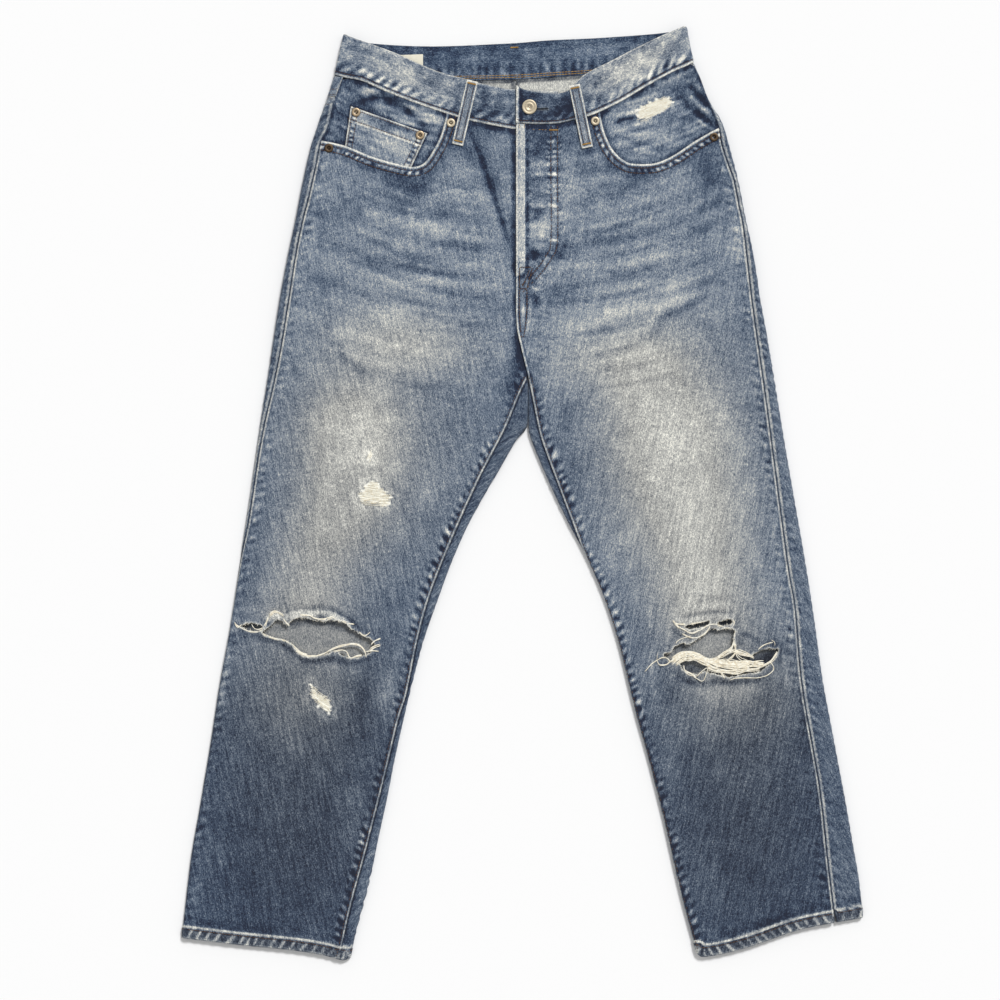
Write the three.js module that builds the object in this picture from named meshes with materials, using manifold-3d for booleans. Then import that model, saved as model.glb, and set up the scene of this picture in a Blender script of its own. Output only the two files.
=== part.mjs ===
// Ripped straight-leg jeans laid flat, front up. Millimetres, +Z up, +Y to the waist.
// "Right" and "left" are the wearer's: the right leg lies at negative X.
import * as THREE from "three";
import { mergeVertices } from "three/addons/utils/BufferGeometryUtils.js";
import Module from "manifold-3d";

const wasm = await Module();
wasm.setup();

// ---- Driving dimensions ----
const CLOTH = 1.3; // one layer of denim
const BAND = 2.0; // the waistband's two layers
const GAP = 0.3; // between pieces at a seam
const LEG_LOW = 0; // underside of the legs
const LEG_HIGH = 6; // top of the legs
const SEAT_LOW = 1.5; // underside of the seat, lifted by the patch pockets
const SEAT_HIGH = 8; // top of the hips
const SEAT_FROM = 130; // where the seat starts to lift
const SEAT_TO = 195; // where it is lifted all the way
const SPLIT = 3; // height at which a seam on a folded edge parts front from back
const HEM = 11; // depth of the turned-up hem
const CROTCH = 125; // height of the crotch point
const CENTRE = 6; // X of the crotch point
const FLY_EDGE = -7; // X of the lapped edge of the fly
const BAND_HIGH = 8.3; // top of the waistband
const LAP = BAND + GAP; // how far the right end of the waistband drops under the left
const FOLD_RADIUS = (BAND_HIGH - SEAT_LOW) / 2; // the waistband's turn at each side
const TRIM_HIGH = 9.8; // top of the belt loops
const TRIM = 1.2; // thickness of loops and patches
const FAR = 40; // how far a cutting prism reaches past the cloth
const STEPS = 3; // chords in each span of a curved outline

// ---- Outlines, from the waist down ----
const OUTER_RIGHT = [
  [-192, 475], [-201.7, 447.3], [-210, 421], [-225, 378], [-235, 335], [-243, 293], [-252, 250],
  [-260, 207], [-270, 143], [-283, 57], [-292, -7], [-302, -71], [-312, -135], [-323, -200],
  [-333, -264], [-344, -328], [-355, -392], [-362.5, -456], [-368, -510],
];
const OUTER_LEFT = [
  [179, 475], [183.5, 460.6], [199.6, 421], [212, 400], [219.5, 378], [230.5, 335], [239, 293], [248.5, 250],
  [255, 207], [267, 143], [281, 57], [292, -7], [303, -71], [313, -135], [322, -200],
  [334, -264], [346, -328], [355, -380], [361, -414], [365, -456], [367, -510],
];
const INNER_RIGHT = [
  [CENTRE, 130], [CENTRE, 75], [-6, 57], [-30.5, 14], [-55, -28], [-74.5, -71], [-90.5, -114],
  [-105.5, -157], [-117, -200], [-127, -242], [-136.5, -285], [-145, -328], [-154.5, -371],
  [-163, -414], [-174, -456], [-188, -510],
];
const INNER_LEFT = [
  [CENTRE, 130], [CENTRE, 75], [9.5, 57], [27.5, 14], [47.5, -28], [70, -71], [88, -114],
  [102, -157], [112.5, -200], [123, -242], [135, -285], [146, -328], [156.5, -371],
  [166.5, -414], [177, -456], [193, -510],
];
const OUTSEAM_RIGHT = [
  [-191, 447], [-199, 426], [-205, 402], [-208, 390], [-215.5, 376], [-221, 349], [-228.5, 316],
  [-235, 291], [-242.5, 253], [-253, 186], [-263, 131], [-279, 59], [-292.5, -27], [-303, -80],
];
const OUTSEAM_LEFT = [
  [180, 461], [188, 446], [196, 425], [205, 404], [210, 390], [213, 374], [220, 352], [226, 335],
  [231, 310], [236, 285], [242.5, 230], [248, 186], [260.5, 100], [283, -71], [291.5, -122],
  [299, -205], [317.5, -313], [326.5, -393], [334.5, -460], [339, -510],
];
const INSEAM_RIGHT = [
  [-4, 104], [-19, 68], [-46.5, 15], [-74.5, -47], [-98, -106], [-112, -156], [-123.5, -213],
  [-132.5, -242], [-148, -306], [-168, -385], [-183.5, -442], [-198, -510],
];
const INSEAM_LEFT = [[11, 100], [17.5, 68], [24, 47], [40, 4], [46, -12], [52, -30]];
const CENTRE_FRONT = [
  [FLY_EDGE, 420], [FLY_EDGE, 228], [-6.5, 182], [-2, 158], [3.5, 136], [CENTRE, CROTCH],
];
const CENTRE_BACK = [[-8, 520], [-8, 440], [-4, 300], [2, 190], [CENTRE, CROTCH], [CENTRE, 60]];
const HEM_RIGHT = [[-380, -474], [-307, -483], [-244, -489.5], [-211, -495], [-191, -500], [-140, -474]];
const HEM_LEFT = [[140, -474], [196, -496], [240, -486.5], [298, -467], [361, -455], [376, -430]];
const YOKE_SEAM = [[-240, 425], [-212, 424], [-120, 402], [-6, 384], [110, 405], [204, 430], [240, 431]];

// ---- Pocket openings, pockets and rips ----
const OPENING_RIGHT = [
  [-240, 384], [-215, 378], [-190, 372], [-160, 360], [-132, 352], [-116, 349.5], [-104, 354.5],
  [-94, 369.5], [-87, 384], [-82, 402], [-81, 425],
];
const OPENING_LEFT = [
  [83, 430], [84, 402], [88, 386], [97, 367.5], [111, 355], [126, 352.5], [144, 354], [162, 362],
  [183, 376], [200, 386], [207, 390], [240, 396],
];
const FACING_RIGHT = [
  [-199, 441], [-176, 447], [-150, 437], [-110, 421], [-66, 405], [-70, 380], [-80, 355],
  [-96, 337], [-116, 331], [-150, 341], [-190, 352], [-224, 361], [-216, 390], [-206, 421],
];
const FACING_LEFT = [
  [181, 453], [157, 453], [132, 439], [111, 426], [90, 415], [68, 406], [68, 385], [78, 358],
  [98, 339], [126, 334], [160, 343], [190, 360], [214, 373], [204, 400], [194, 424],
];
const COIN_POCKET = [[-183.5, 414.5], [-102, 385.5], [-124.5, 338.5], [-192, 358]];
const PATCH_POCKET = [[-72, 78], [72, 78], [66, -52], [0, -82], [-66, -52]];
const PATCH_PLACES = { right: [-104, 292], left: [100, 294] };
const RIP_RIGHT = [
  [-279, -147], [-265, -136], [-240, -132], [-218, -131], [-199, -133], [-183, -139], [-168, -149],
  [-153, -157], [-150, -164], [-160, -170], [-182, -173], [-198, -171], [-218, -175], [-236, -174],
  [-248, -166], [-262, -158],
];
const RIP_LEFT = [
  [182, -159], [202, -146], [226, -142], [229, -157], [230, -169], [250, -172], [262, -165],
  [275, -165], [273, -178], [254, -187], [226, -193], [198, -195], [178, -191], [171, -181],
  [186, -173],
];

// ---- Waistband stations: [top X, top Y, bottom X, bottom Y] ----
const BAND_RIGHT = [
  [-20, 434, -21, 392.5], [-59, 443, -69, 403], [-93, 452.5, -103, 414], [-134, 470.5, -144, 429.5],
  [-162, 481, -171, 441],
];
const BAND_RIGHT_END = [[38, 431, 40, 389], [-9, 433, -9, 390.5]];
const BAND_BACK = [
  [-160, 482, -165, 444], [-97, 479, -100, 442.5], [-16, 482, -16, 443.5], [30, 485.5, 30, 446],
  [83, 488, 81, 449.5], [148, 493, 146, 455.5],
];
const BAND_LEFT = [
  [148, 489.5, 158, 449.5], [122, 477, 131, 434.5], [95, 463, 104, 418.5], [66, 448, 75, 405],
  [49, 431, 54, 399.5], [33, 428.5, 34, 395.5], [4, 432, 4, 395.5], [-6.5, 437, FLY_EDGE, 396.5],
];
const BAND_CORNER_RIGHT = [-192, 491.5, -201.7, 447.3];
const BAND_CORNER_LEFT = [176, 500, 183.5, 460.6];
const BUTTON = [7.5, 413.5];
const BUTTONHOLE = [[2, 411], [34, 411.5], [34, 414.5], [10, 417], [3, 416]];

// ---- Materials ----
const denim = (colour) => new THREE.MeshStandardMaterial({ color: colour, roughness: 0.9, metalness: 0 });
const frontDenim = denim(0x6f87a3);
const backDenim = denim(0x4f6686);
const bandDenim = denim(0x75899f);
const facingDenim = denim(0x6b8098);
const loopDenim = denim(0x8b9399);
const labelCloth = denim(0xe9e2cf);
const nickel = new THREE.MeshStandardMaterial({ color: 0xbfb7a8, roughness: 0.35, metalness: 1 });
const copper = new THREE.MeshStandardMaterial({ color: 0x8c6a4c, roughness: 0.4, metalness: 1 });

// ---- Helpers ----
// Six times the volume that a closed surface holds: negative when its faces point in.
const signedVolume = (position, index) => {
  const corner = new THREE.Vector3();
  const [a, b, c] = [new THREE.Vector3(), new THREE.Vector3(), new THREE.Vector3()];
  let sum = 0;
  for (let i = 0; i < index.length; i += 3) {
    a.fromArray(position, index[i] * 3);
    b.fromArray(position, index[i + 1] * 3);
    c.fromArray(position, index[i + 2] * 3);
    sum += corner.crossVectors(b, c).dot(a);
  }
  return sum;
};

const solidOf = (geometry) => {
  geometry.deleteAttribute("normal");
  geometry.deleteAttribute("uv");
  const merged = mergeVertices(geometry, 1e-4);
  const position = new Float32Array(merged.attributes.position.array);
  const index = new Uint32Array(merged.index.array);
  if (signedVolume(position, index) < 0) {
    index.reverse();
  }
  return new wasm.Manifold(new wasm.Mesh({ numProp: 3, vertProperties: position, triVerts: index }));
};

const jeans = new THREE.Group();

// Adds a solid to the group as one named mesh.
const piece = (name, solid, material) => {
  const mesh = solid.getMesh();
  const geometry = new THREE.BufferGeometry();
  geometry.setAttribute("position", new THREE.BufferAttribute(mesh.vertProperties, 3));
  geometry.setIndex(new THREE.BufferAttribute(mesh.triVerts, 1));
  const node = new THREE.Mesh(geometry, material);
  node.name = name;
  jeans.add(node);
};

// A smooth run through a few points.
const smooth = (points) => {
  const spline = new THREE.SplineCurve(points.map(([x, y]) => new THREE.Vector2(x, y)));
  return spline.getPoints((points.length - 1) * STEPS).map((p) => [p.x, p.y]);
};

// An upright prism over a plan outline.
const prism = (outline, low, high) => {
  const shape = new THREE.Shape(outline.map(([x, y]) => new THREE.Vector2(x, y)));
  const geometry = new THREE.ExtrudeGeometry(shape, { depth: high - low, bevelEnabled: false });
  geometry.translate(0, 0, low);
  return solidOf(geometry);
};

// The same outline moved outwards all round.
const grow = (outline, distance) => {
  const turn = Math.sign(THREE.ShapeUtils.area(outline.map(([x, y]) => new THREE.Vector2(x, y))));
  return outline.map(([x, y], i) => {
    const [ax, ay] = outline.at(i - 1);
    const [bx, by] = outline[(i + 1) % outline.length];
    const before = new THREE.Vector2(x - ax, y - ay).normalize();
    const after = new THREE.Vector2(bx - x, by - y).normalize();
    const along = before.clone().add(after).normalize();
    const stretch = distance / Math.max(0.5, along.dot(before));
    return [x + turn * along.y * stretch, y - turn * along.x * stretch];
  });
};

// X of an edge at a given Y, on straight spans between its points.
const edgeAt = (edge, y) => {
  const i = Math.min(edge.length - 2, Math.max(0, edge.findIndex((p) => p[1] <= y) - 1));
  const [ax, ay] = edge[i];
  const [bx, by] = edge[i + 1];
  return ax + ((bx - ax) * (y - ay)) / (by - ay);
};

const ramp = (y) => THREE.MathUtils.clamp((y - SEAT_FROM) / (SEAT_TO - SEAT_FROM), 0, 1);
const lowAt = (y) => THREE.MathUtils.lerp(LEG_LOW, SEAT_LOW, ramp(y));
const highAt = (y) => THREE.MathUtils.lerp(LEG_HIGH, SEAT_HIGH, ramp(y));

// A closed loft through rings of equal length.
const loft = (rings) => {
  const count = rings[0].length;
  const index = [];
  const ends = (ring, offset, flip) => {
    for (let i = 1; i < count - 1; i++) {
      index.push(offset, offset + (flip ? i + 1 : i), offset + (flip ? i : i + 1));
    }
  };
  ends(rings[0], 0, true);
  ends(rings.at(-1), (rings.length - 1) * count, false);
  for (let r = 0; r < rings.length - 1; r++) {
    for (let i = 0; i < count; i++) {
      const a = r * count + i;
      const b = r * count + ((i + 1) % count);
      index.push(a, b, b + count);
      index.push(a, b + count, a + count);
    }
  }
  const geometry = new THREE.BufferGeometry();
  geometry.setAttribute("position", new THREE.Float32BufferAttribute(rings.flat(2), 3));
  geometry.setIndex(index);
  return solidOf(geometry);
};

// A flattened tube of cloth: sections with half-round edges, at each row of Y, moved in by an inset.
const EDGE_ANGLES = [-90, -50, -15, 15, 50, 90].map(THREE.MathUtils.degToRad);
const flatTube = (leftEdge, rightEdge, rows, inset) => loft(rows.map((y) => {
  const low = lowAt(y) + inset;
  const high = highAt(y) - inset;
  const radius = (high - low) / 2;
  const middle = (high + low) / 2;
  const from = edgeAt(leftEdge, y) + inset + radius;
  const to = edgeAt(rightEdge, y) - inset - radius;
  const right = EDGE_ANGLES.map((a) => [to + radius * Math.cos(a), y, middle + radius * Math.sin(a)]);
  const left = EDGE_ANGLES.map((a) => [from - radius * Math.cos(a), y, middle - radius * Math.sin(a)]);
  return [...right, ...left];
}));

// ---- The body as one shell ----
const ROW_APART = 4; // least distance between two rows of a tube
const rowsOf = (edges, from, to) => {
  const inside = edges.flat().map((p) => p[1]).filter((y) => y < from - ROW_APART && y > to + ROW_APART);
  const rows = [from, ...new Set(inside.sort((a, b) => b - a)), to];
  return rows.filter((y, i, all) => i === 0 || all[i - 1] - y > ROW_APART);
};
const hipRows = [470, 447, 421, 378, 335, 293, 250, 207, SEAT_TO, 165, SEAT_FROM];
const legRowsRight = rowsOf([OUTER_RIGHT, INNER_RIGHT], SEAT_FROM, -508);
const legRowsLeft = rowsOf([OUTER_LEFT, INNER_LEFT], SEAT_FROM, -508);
const besideCentre = (edge, side) => edge.map(([x, y]) => [x + (y > 70 ? (side * GAP) / 2 : 0), y]);
const innerRight = besideCentre(INNER_RIGHT, -1);
const innerLeft = besideCentre(INNER_LEFT, 1);

const bodySolid = (inset) => {
  const hips = flatTube(OUTER_RIGHT, OUTER_LEFT, [...hipRows, CROTCH + inset], inset);
  const right = flatTube(OUTER_RIGHT, innerRight, legRowsRight, inset);
  const left = flatTube(innerLeft, OUTER_LEFT, legRowsLeft, inset);
  return hips.add(right).add(left);
};

const above = (line) => [...line, [line.at(-1)[0], 600], [line[0][0], 600]];
const lift = (line, rise) => line.map(([x, y]) => [x, y + rise]);
const hemCut = (rise) => prism(above(lift(HEM_RIGHT, rise)), -FAR, FAR)
  .add(prism(above(lift(HEM_LEFT, rise)), -FAR, FAR))
  .add(prism([[-400, -400], [400, -400], [400, 600], [-400, 600]], -FAR, FAR));
const cavity = bodySolid(CLOTH).intersect(hemCut(HEM)).add(bodySolid(2 * CLOTH - GAP));
const shell = bodySolid(0).subtract(cavity).intersect(hemCut(0));

// ---- Waistband ----
const flatStation = ([tx, ty, bx, by], z, up) => ({ top: [tx, ty, z], bottom: [bx, by, z], out: [0, 0, up] });
const sideFold = ([tx, ty, bx, by], side) => {
  const middle = (BAND_HIGH + SEAT_LOW) / 2;
  const angles = [60, 30, 0, -30, -60].map((a) => THREE.MathUtils.degToRad(side < 0 ? a : -a));
  const ends = side < 0 ? [90, -90] : [-90, 90];
  return [ends[0], ...angles.map(THREE.MathUtils.radToDeg), ends[1]].map((degrees) => {
    const a = THREE.MathUtils.degToRad(degrees);
    const inward = side * FOLD_RADIUS * (Math.cos(a) - 1);
    const z = middle + FOLD_RADIUS * Math.sin(a);
    return {
      top: [tx + inward, ty, z],
      bottom: [bx + inward, by, z],
      out: [side * Math.cos(a), 0, Math.sin(a)],
    };
  });
};
const bandStations = [
  ...BAND_RIGHT_END.map((s) => flatStation(s, BAND_HIGH - LAP, 1)),
  ...BAND_RIGHT.map((s) => flatStation(s, BAND_HIGH, 1)),
  ...sideFold(BAND_CORNER_RIGHT, -1),
  ...BAND_BACK.map((s) => flatStation(s, SEAT_LOW, -1)),
  ...sideFold(BAND_CORNER_LEFT, 1),
  ...BAND_LEFT.map((s) => flatStation(s, BAND_HIGH, 1)),
];
const ribbon = (stations, thickness) => loft(stations.map(({ top, bottom, out }) => {
  const inside = (point) => point.map((value, k) => value - out[k] * thickness);
  return [top, bottom, inside(bottom), inside(top)];
}));
const buttonhole = prism(BUTTONHOLE, BAND_HIGH - BAND - GAP / 2, FAR);
piece("waistband", ribbon(bandStations, BAND).subtract(buttonhole), bandDenim);

// The seam under the waistband, front and back, as plan lines from right to left.
const bottoms = (stations) => stations.map(([, , x, y]) => [x, y - GAP]);
const cornerRight = [[-400, BAND_CORNER_RIGHT[3] - GAP], [BAND_CORNER_RIGHT[2], BAND_CORNER_RIGHT[3] - GAP]];
const cornerLeft = [[BAND_CORNER_LEFT[2], BAND_CORNER_LEFT[3] - GAP], [400, BAND_CORNER_LEFT[3] - GAP]];
const seamFrontRight = [...cornerRight, ...bottoms(BAND_RIGHT).reverse(), [FLY_EDGE, 390]];
const seamFrontLeft = [...bottoms(BAND_LEFT).reverse(), ...cornerLeft];
const seamBack = [...cornerRight, ...bottoms(BAND_BACK), ...cornerLeft];
const under = (line) => [...line, [line.at(-1)[0], 100], [line[0][0], 100]];
const legsOnly = prism([[-400, -520], [400, -520], [400, 110], [-400, 110]], -FAR, FAR);
const middle = (SEAT_LOW + SEAT_HIGH) / 2;
const body = shell.intersect(
  prism(under([...seamFrontRight, ...seamFrontLeft]), middle, FAR)
    .add(prism(under(seamBack), -FAR, middle))
    .add(legsOnly),
);

// ---- Front panels ----
const shift = (line, dx) => line.map(([x, y]) => [x + dx, y]);
const centreFront = smooth(CENTRE_FRONT);
const outlineRight = [
  ...shift(centreFront, -GAP / 2),
  ...smooth(INSEAM_RIGHT),
  [-300, -530], [-400, -500], [-340, -80],
  ...smooth(OUTSEAM_RIGHT).reverse(),
  [-191, 480], [FLY_EDGE - GAP / 2, 480],
];
const outlineLeft = [
  ...shift(centreFront, GAP / 2),
  ...smooth(INSEAM_LEFT),
  [50, -60], [120, -300], [160, -530],
  ...smooth(OUTSEAM_LEFT).reverse(),
  [180, 490], [FLY_EDGE + GAP / 2, 490],
];
const through = (outline) => prism(outline, SPLIT, FAR);
const openingRight = through([...smooth(OPENING_RIGHT), [-240, 470]]);
const openingLeft = through([...smooth(OPENING_LEFT), [240, 480], [83, 480]]);
const frontPanel = (outline, opening, rip) => body
  .intersect(prism(outline, SPLIT + GAP / 2, FAR))
  .subtract(opening)
  .subtract(through(smooth([...rip, rip[0]]).slice(1)));
piece("front_right", frontPanel(outlineRight, openingRight, RIP_RIGHT), frontDenim);
piece("front_left", frontPanel(outlineLeft, openingLeft, RIP_LEFT), frontDenim);

// ---- Back panels and yokes ----
const backShell = body
  .subtract(prism(grow(outlineRight, GAP), SPLIT - GAP / 2, FAR))
  .subtract(prism(grow(outlineLeft, GAP), SPLIT - GAP / 2, FAR));
const centreBack = smooth(CENTRE_BACK);
const sideOf = (side) => {
  const half = (side * GAP) / 2;
  const outline = [...shift(centreBack, half), [CENTRE + half, -530], [side * 420, -530], [side * 420, 520]];
  return prism(outline, -FAR, FAR);
};
const yokeSeam = smooth(YOKE_SEAM);
const overYoke = prism(above(lift(yokeSeam, GAP / 2)), -FAR, FAR);
const legsBox = [[400, 300], [400, -530], [-400, -530], [-400, 300]];
const underYoke = prism([...lift(yokeSeam, -GAP / 2), ...legsBox], -FAR, FAR);
for (const [name, side] of [["right", -1], ["left", 1]]) {
  const half = backShell.intersect(sideOf(side));
  piece(`back_${name}`, half.intersect(underYoke), backDenim);
  piece(`yoke_${name}`, half.intersect(overYoke), backDenim);
}

// ---- Pockets, fly and label ----
const FACING_HIGH = SEAT_HIGH - CLOTH - GAP - 1 - GAP;
piece("pocket_facing_right", prism(FACING_RIGHT, FACING_HIGH - TRIM, FACING_HIGH), facingDenim);
piece("pocket_facing_left", prism(FACING_LEFT, FACING_HIGH - TRIM, FACING_HIGH), facingDenim);
piece("coin_pocket", prism(COIN_POCKET, FACING_HIGH + GAP, FACING_HIGH + GAP + 1), facingDenim);
for (const [name, [x, y]] of Object.entries(PATCH_PLACES)) {
  piece(`patch_pocket_${name}`, prism(PATCH_POCKET.map(([px, py]) => [px + x, py + y]), 0, TRIM), backDenim);
}
const underlapHigh = SEAT_HIGH - CLOTH - GAP;
const UNDERLAP = [[-26, 388], [38, 386], [34, 262], [12, 226], [-20, 226]];
piece("fly_underlap", prism(UNDERLAP, underlapHigh - CLOTH, underlapHigh), facingDenim);
const LABEL = [[-135, 448], [-106, 448], [-106, 470.5], [-135, 470.5]];
piece("inside_label", prism(LABEL, SEAT_LOW + BAND + GAP, SEAT_LOW + BAND + GAP + 0.6), labelCloth);

// ---- Belt loops ----
const FRONT_LOOPS = {
  front_right: [[-59.5, 443], [-47.5, 438], [-61, 371.5], [-76, 378.5]],
  front_left: [[49, 431.5], [62, 440.5], [76, 376], [62, 367]],
};
const BACK_LOOPS = { back_right: [-118, 477, 8], back_centre: [-10, 482, 0], back_left: [100, 487, -8] };
const LOOP_WIDTH = 12.5;
const LOOP_LENGTH = 56;
for (const [name, outline] of Object.entries(FRONT_LOOPS)) {
  piece(`belt_loop_${name}`, prism(outline, TRIM_HIGH - TRIM, TRIM_HIGH), loopDenim);
}
for (const [name, [x, y, lean]] of Object.entries(BACK_LOOPS)) {
  const half = LOOP_WIDTH / 2;
  const foot = y - LOOP_LENGTH;
  const outline = [[x - half, y], [x + half, y], [x + half + lean, foot], [x - half + lean, foot]];
  piece(`belt_loop_${name}`, prism(outline, 0, TRIM), loopDenim);
}

// ---- Rivets and button ----
const turned = (profile, sides, x, y, z) => {
  const geometry = new THREE.LatheGeometry(profile.map(([r, h]) => new THREE.Vector2(r, h)), sides);
  geometry.rotateX(Math.PI / 2);
  geometry.translate(x, y, z);
  return solidOf(geometry);
};
const RIVET = [[0, 0], [4.7, 0], [4.7, 0.5], [3.6, 1.1], [2.4, 0.9], [1.6, 1.3], [0, 1.4]];
const RIVETS = {
  rivet_right_side: [-207, 369.5, SEAT_HIGH],
  rivet_right_front: [-76.5, 396.5, SEAT_HIGH],
  rivet_coin_outer: [-178, 408, FACING_HIGH + GAP + 1],
  rivet_coin_inner: [-109.5, 383.5, FACING_HIGH + GAP + 1],
  rivet_left_front: [78, 398.5, SEAT_HIGH],
  rivet_left_side: [205, 381.5, SEAT_HIGH],
};
for (const [name, [x, y, z]] of Object.entries(RIVETS)) {
  piece(name, turned(RIVET, 16, x, y, z + GAP), copper);
}
const SHANK = BAND_HIGH + GAP - (BAND_HIGH - LAP + GAP);
const BUTTON_PROFILE = [
  [0, 0], [1.9, 0], [1.9, SHANK], [7.6, SHANK], [8, SHANK + 0.6], [7.6, SHANK + 1.5], [6.2, SHANK + 1.7],
  [5.6, SHANK + 1.2], [0, SHANK + 1.4],
];
piece("waist_button", turned(BUTTON_PROFILE, 24, ...BUTTON, BAND_HIGH - LAP + GAP), nickel);

export default jeans;
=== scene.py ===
"""Ripped straight-leg jeans laid flat, front up: the cloth, its wear and painted shade, its stitching and its
trimmings.

Right and left are the wearer's: the right leg lies at negative X. Plan sizes are in millimetres and
become metres where a mesh is made.
"""
import logging
import math
from dataclasses import dataclass, field, replace
from enum import Enum
from functools import partial
from typing import Callable, Iterable, Sequence

import bpy
import numpy as np
from mathutils import Matrix, Vector
from mathutils.geometry import delaunay_2d_cdt


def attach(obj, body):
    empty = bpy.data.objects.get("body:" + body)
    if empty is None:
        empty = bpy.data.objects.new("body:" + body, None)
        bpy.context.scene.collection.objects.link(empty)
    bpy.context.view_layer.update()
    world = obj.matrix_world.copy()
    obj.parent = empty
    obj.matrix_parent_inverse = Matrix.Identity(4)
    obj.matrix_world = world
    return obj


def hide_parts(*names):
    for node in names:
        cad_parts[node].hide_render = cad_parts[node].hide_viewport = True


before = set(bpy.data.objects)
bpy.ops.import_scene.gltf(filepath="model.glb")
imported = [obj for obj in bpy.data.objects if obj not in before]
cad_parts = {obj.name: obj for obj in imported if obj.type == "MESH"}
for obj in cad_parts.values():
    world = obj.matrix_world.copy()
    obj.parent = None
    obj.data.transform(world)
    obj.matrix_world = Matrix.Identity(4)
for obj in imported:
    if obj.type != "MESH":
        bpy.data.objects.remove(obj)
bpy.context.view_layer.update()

log = logging.getLogger("jeans")
Array = np.ndarray
Point = Sequence[float]

MM = 0.001
CLOTH = 1.2
SEAM_GAP = 0.3
GRAIN_LEAN = 11.5
GRAIN_MAP = "grain"

# Heights of the laid-out body's two faces, and the Y between which the seat rises above the legs.
LEG_LOW, LEG_HIGH = 0.0, 6.0
SEAT_LOW, SEAT_HIGH = 1.5, 8.0
SEAT_FROM, SEAT_TO = 130.0, 195.0
CROTCH = 125.0
FLY_EDGE = -7.0
FACING_LOW, FACING_RISE, FACING_SLOPE = 5.4, 1.9, 20.0
UNDERLAP_HEIGHT = 5.3
UNDERSIDE = 0.02
LABEL_HEIGHT = 4.3
BAND_HEIGHT = 39.0
BAND_CLOTH = 2.0
BAND_LOW, BAND_HIGH = 1.5, 8.3
LOOP_HEIGHT, LOOP_ARCH = 9.3, 0.9
BUTTON_LIFT = 0.9
RIVET_LIFT = 0.1

# How far rows of stitches lie from an edge: a pocket's, a felled seam's, a hem's, the band's and
# the coin pocket's.
POCKET_ROWS = (4.2, 9.8)
FELL_ROWS = (2.2, 8.0)
HEM_ROW = 10.0
BAND_ROW = 3.6
COIN_TOP_ROWS = (2.2, 13.5)
COIN_SIDE_ROWS = (2.2, 7.6)
# A worn spot below this Y is on a leg, and one above it is on a pocket facing.
LEG_TOP = 300.0

# The cloth's mesh: rows of points beside each edge, and how close its points come.
RIM_ROWS = (0.75, 1.6, 2.7)
RIM_CLEAR = 0.6
RIM_APART = 0.62
ROW_CLEAR = 0.75
WELD = 1e-6
MOST_CARRIED = 4


class Side(Enum):
    """The wearer's side, as the sign of X."""

    RIGHT = -1
    LEFT = 1

    @property
    def word(self) -> str:
        """The side as it stands in a piece's name."""
        return self.name.lower()


# ---------------------------------------------------------------------------- plan outlines

OUTER = {
    Side.RIGHT: [(192, 475), (201.7, 447.3), (210, 421), (225, 378), (235, 335), (243, 293),
                 (252, 250), (260, 207), (270, 143), (283, 57), (292, -7), (302, -71), (312, -135),
                 (323, -200), (333, -264), (344, -328), (355, -392), (362.5, -456), (368, -510)],
    Side.LEFT: [(179, 475), (183.5, 460.6), (199.6, 421), (212, 400), (219.5, 378), (230.5, 335),
                (239, 293), (248.5, 250), (255, 207), (267, 143), (281, 57), (292, -7), (303, -71),
                (313, -135), (322, -200), (334, -264), (346, -328), (355, -380), (361, -414),
                (365, -456), (367, -510)],
}
INNER = {
    Side.RIGHT: [(-5.7, 126), (-5.7, 75), (6, 57), (30.5, 14), (55, -28), (74.5, -71), (90.5, -114),
                 (105.5, -157), (117, -200), (127, -242), (136.5, -285), (145, -328), (154.5, -371),
                 (163, -414), (174, -456), (188, -510)],
    Side.LEFT: [(6.3, 126), (6.3, 75), (9.5, 57), (27.5, 14), (47.5, -28), (70, -71), (88, -114),
                (102, -157), (112.5, -200), (123, -242), (135, -285), (146, -328), (156.5, -371),
                (166.5, -414), (177, -456), (193, -510)],
}
OUTSEAM = {
    Side.RIGHT: [(191, 447), (199, 426), (205, 402), (208, 390), (215.5, 376), (221, 349),
                 (228.5, 316), (235, 291), (242.5, 253), (253, 186), (263, 131), (279, 59),
                 (292.5, -27), (301, -66), (308, -100), (315, -142), (325.5, -200), (336, -264),
                 (347, -328), (358, -392), (365.5, -456), (368, -476)],
    Side.LEFT: [(181, 461), (189, 446), (196.5, 425), (205, 404), (210.5, 390), (213, 374),
                (220, 352), (226, 335), (231, 310), (236, 285), (242.5, 230), (248, 186),
                (260.5, 100), (283, -71), (291.5, -122), (299, -205), (317.5, -313), (326.5, -393),
                (334.5, -460)],
}
INSEAM = {
    Side.RIGHT: [(-5.7, 124.5), (4, 104), (19, 68), (46.5, 15), (74.5, -47), (98, -106), (112, -156),
                 (123.5, -213), (132.5, -242), (148, -306), (168, -385), (183.5, -442), (196, -498)],
    Side.LEFT: [(6.3, 124.5), (11, 100), (17.5, 68), (24, 47), (40, 4), (46, -12), (56, -38),
                (68, -71), (86, -114), (100, -157), (111, -200), (121.5, -242), (133.5, -285),
                (144.5, -328), (155, -371), (165, -414), (175.5, -456), (186, -492)],
}
HEM = {
    Side.RIGHT: [(372, -475), (307, -483), (244, -489.5), (211, -495), (191, -500), (180, -494.5),
                 (140, -474)],
    Side.LEFT: [(376, -452), (361, -455), (298, -467), (240, -486.5), (196, -496), (184, -491),
                (140, -474)],
}
CENTRE_FRONT = [(FLY_EDGE, 420), (FLY_EDGE, 228), (-6.5, 182), (-2, 158), (3.5, 136), (6, 125)]
CENTRE_BACK = [(-8, 446), (-7, 384), (-4, 300), (2, 190), (6, 125)]
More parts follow.
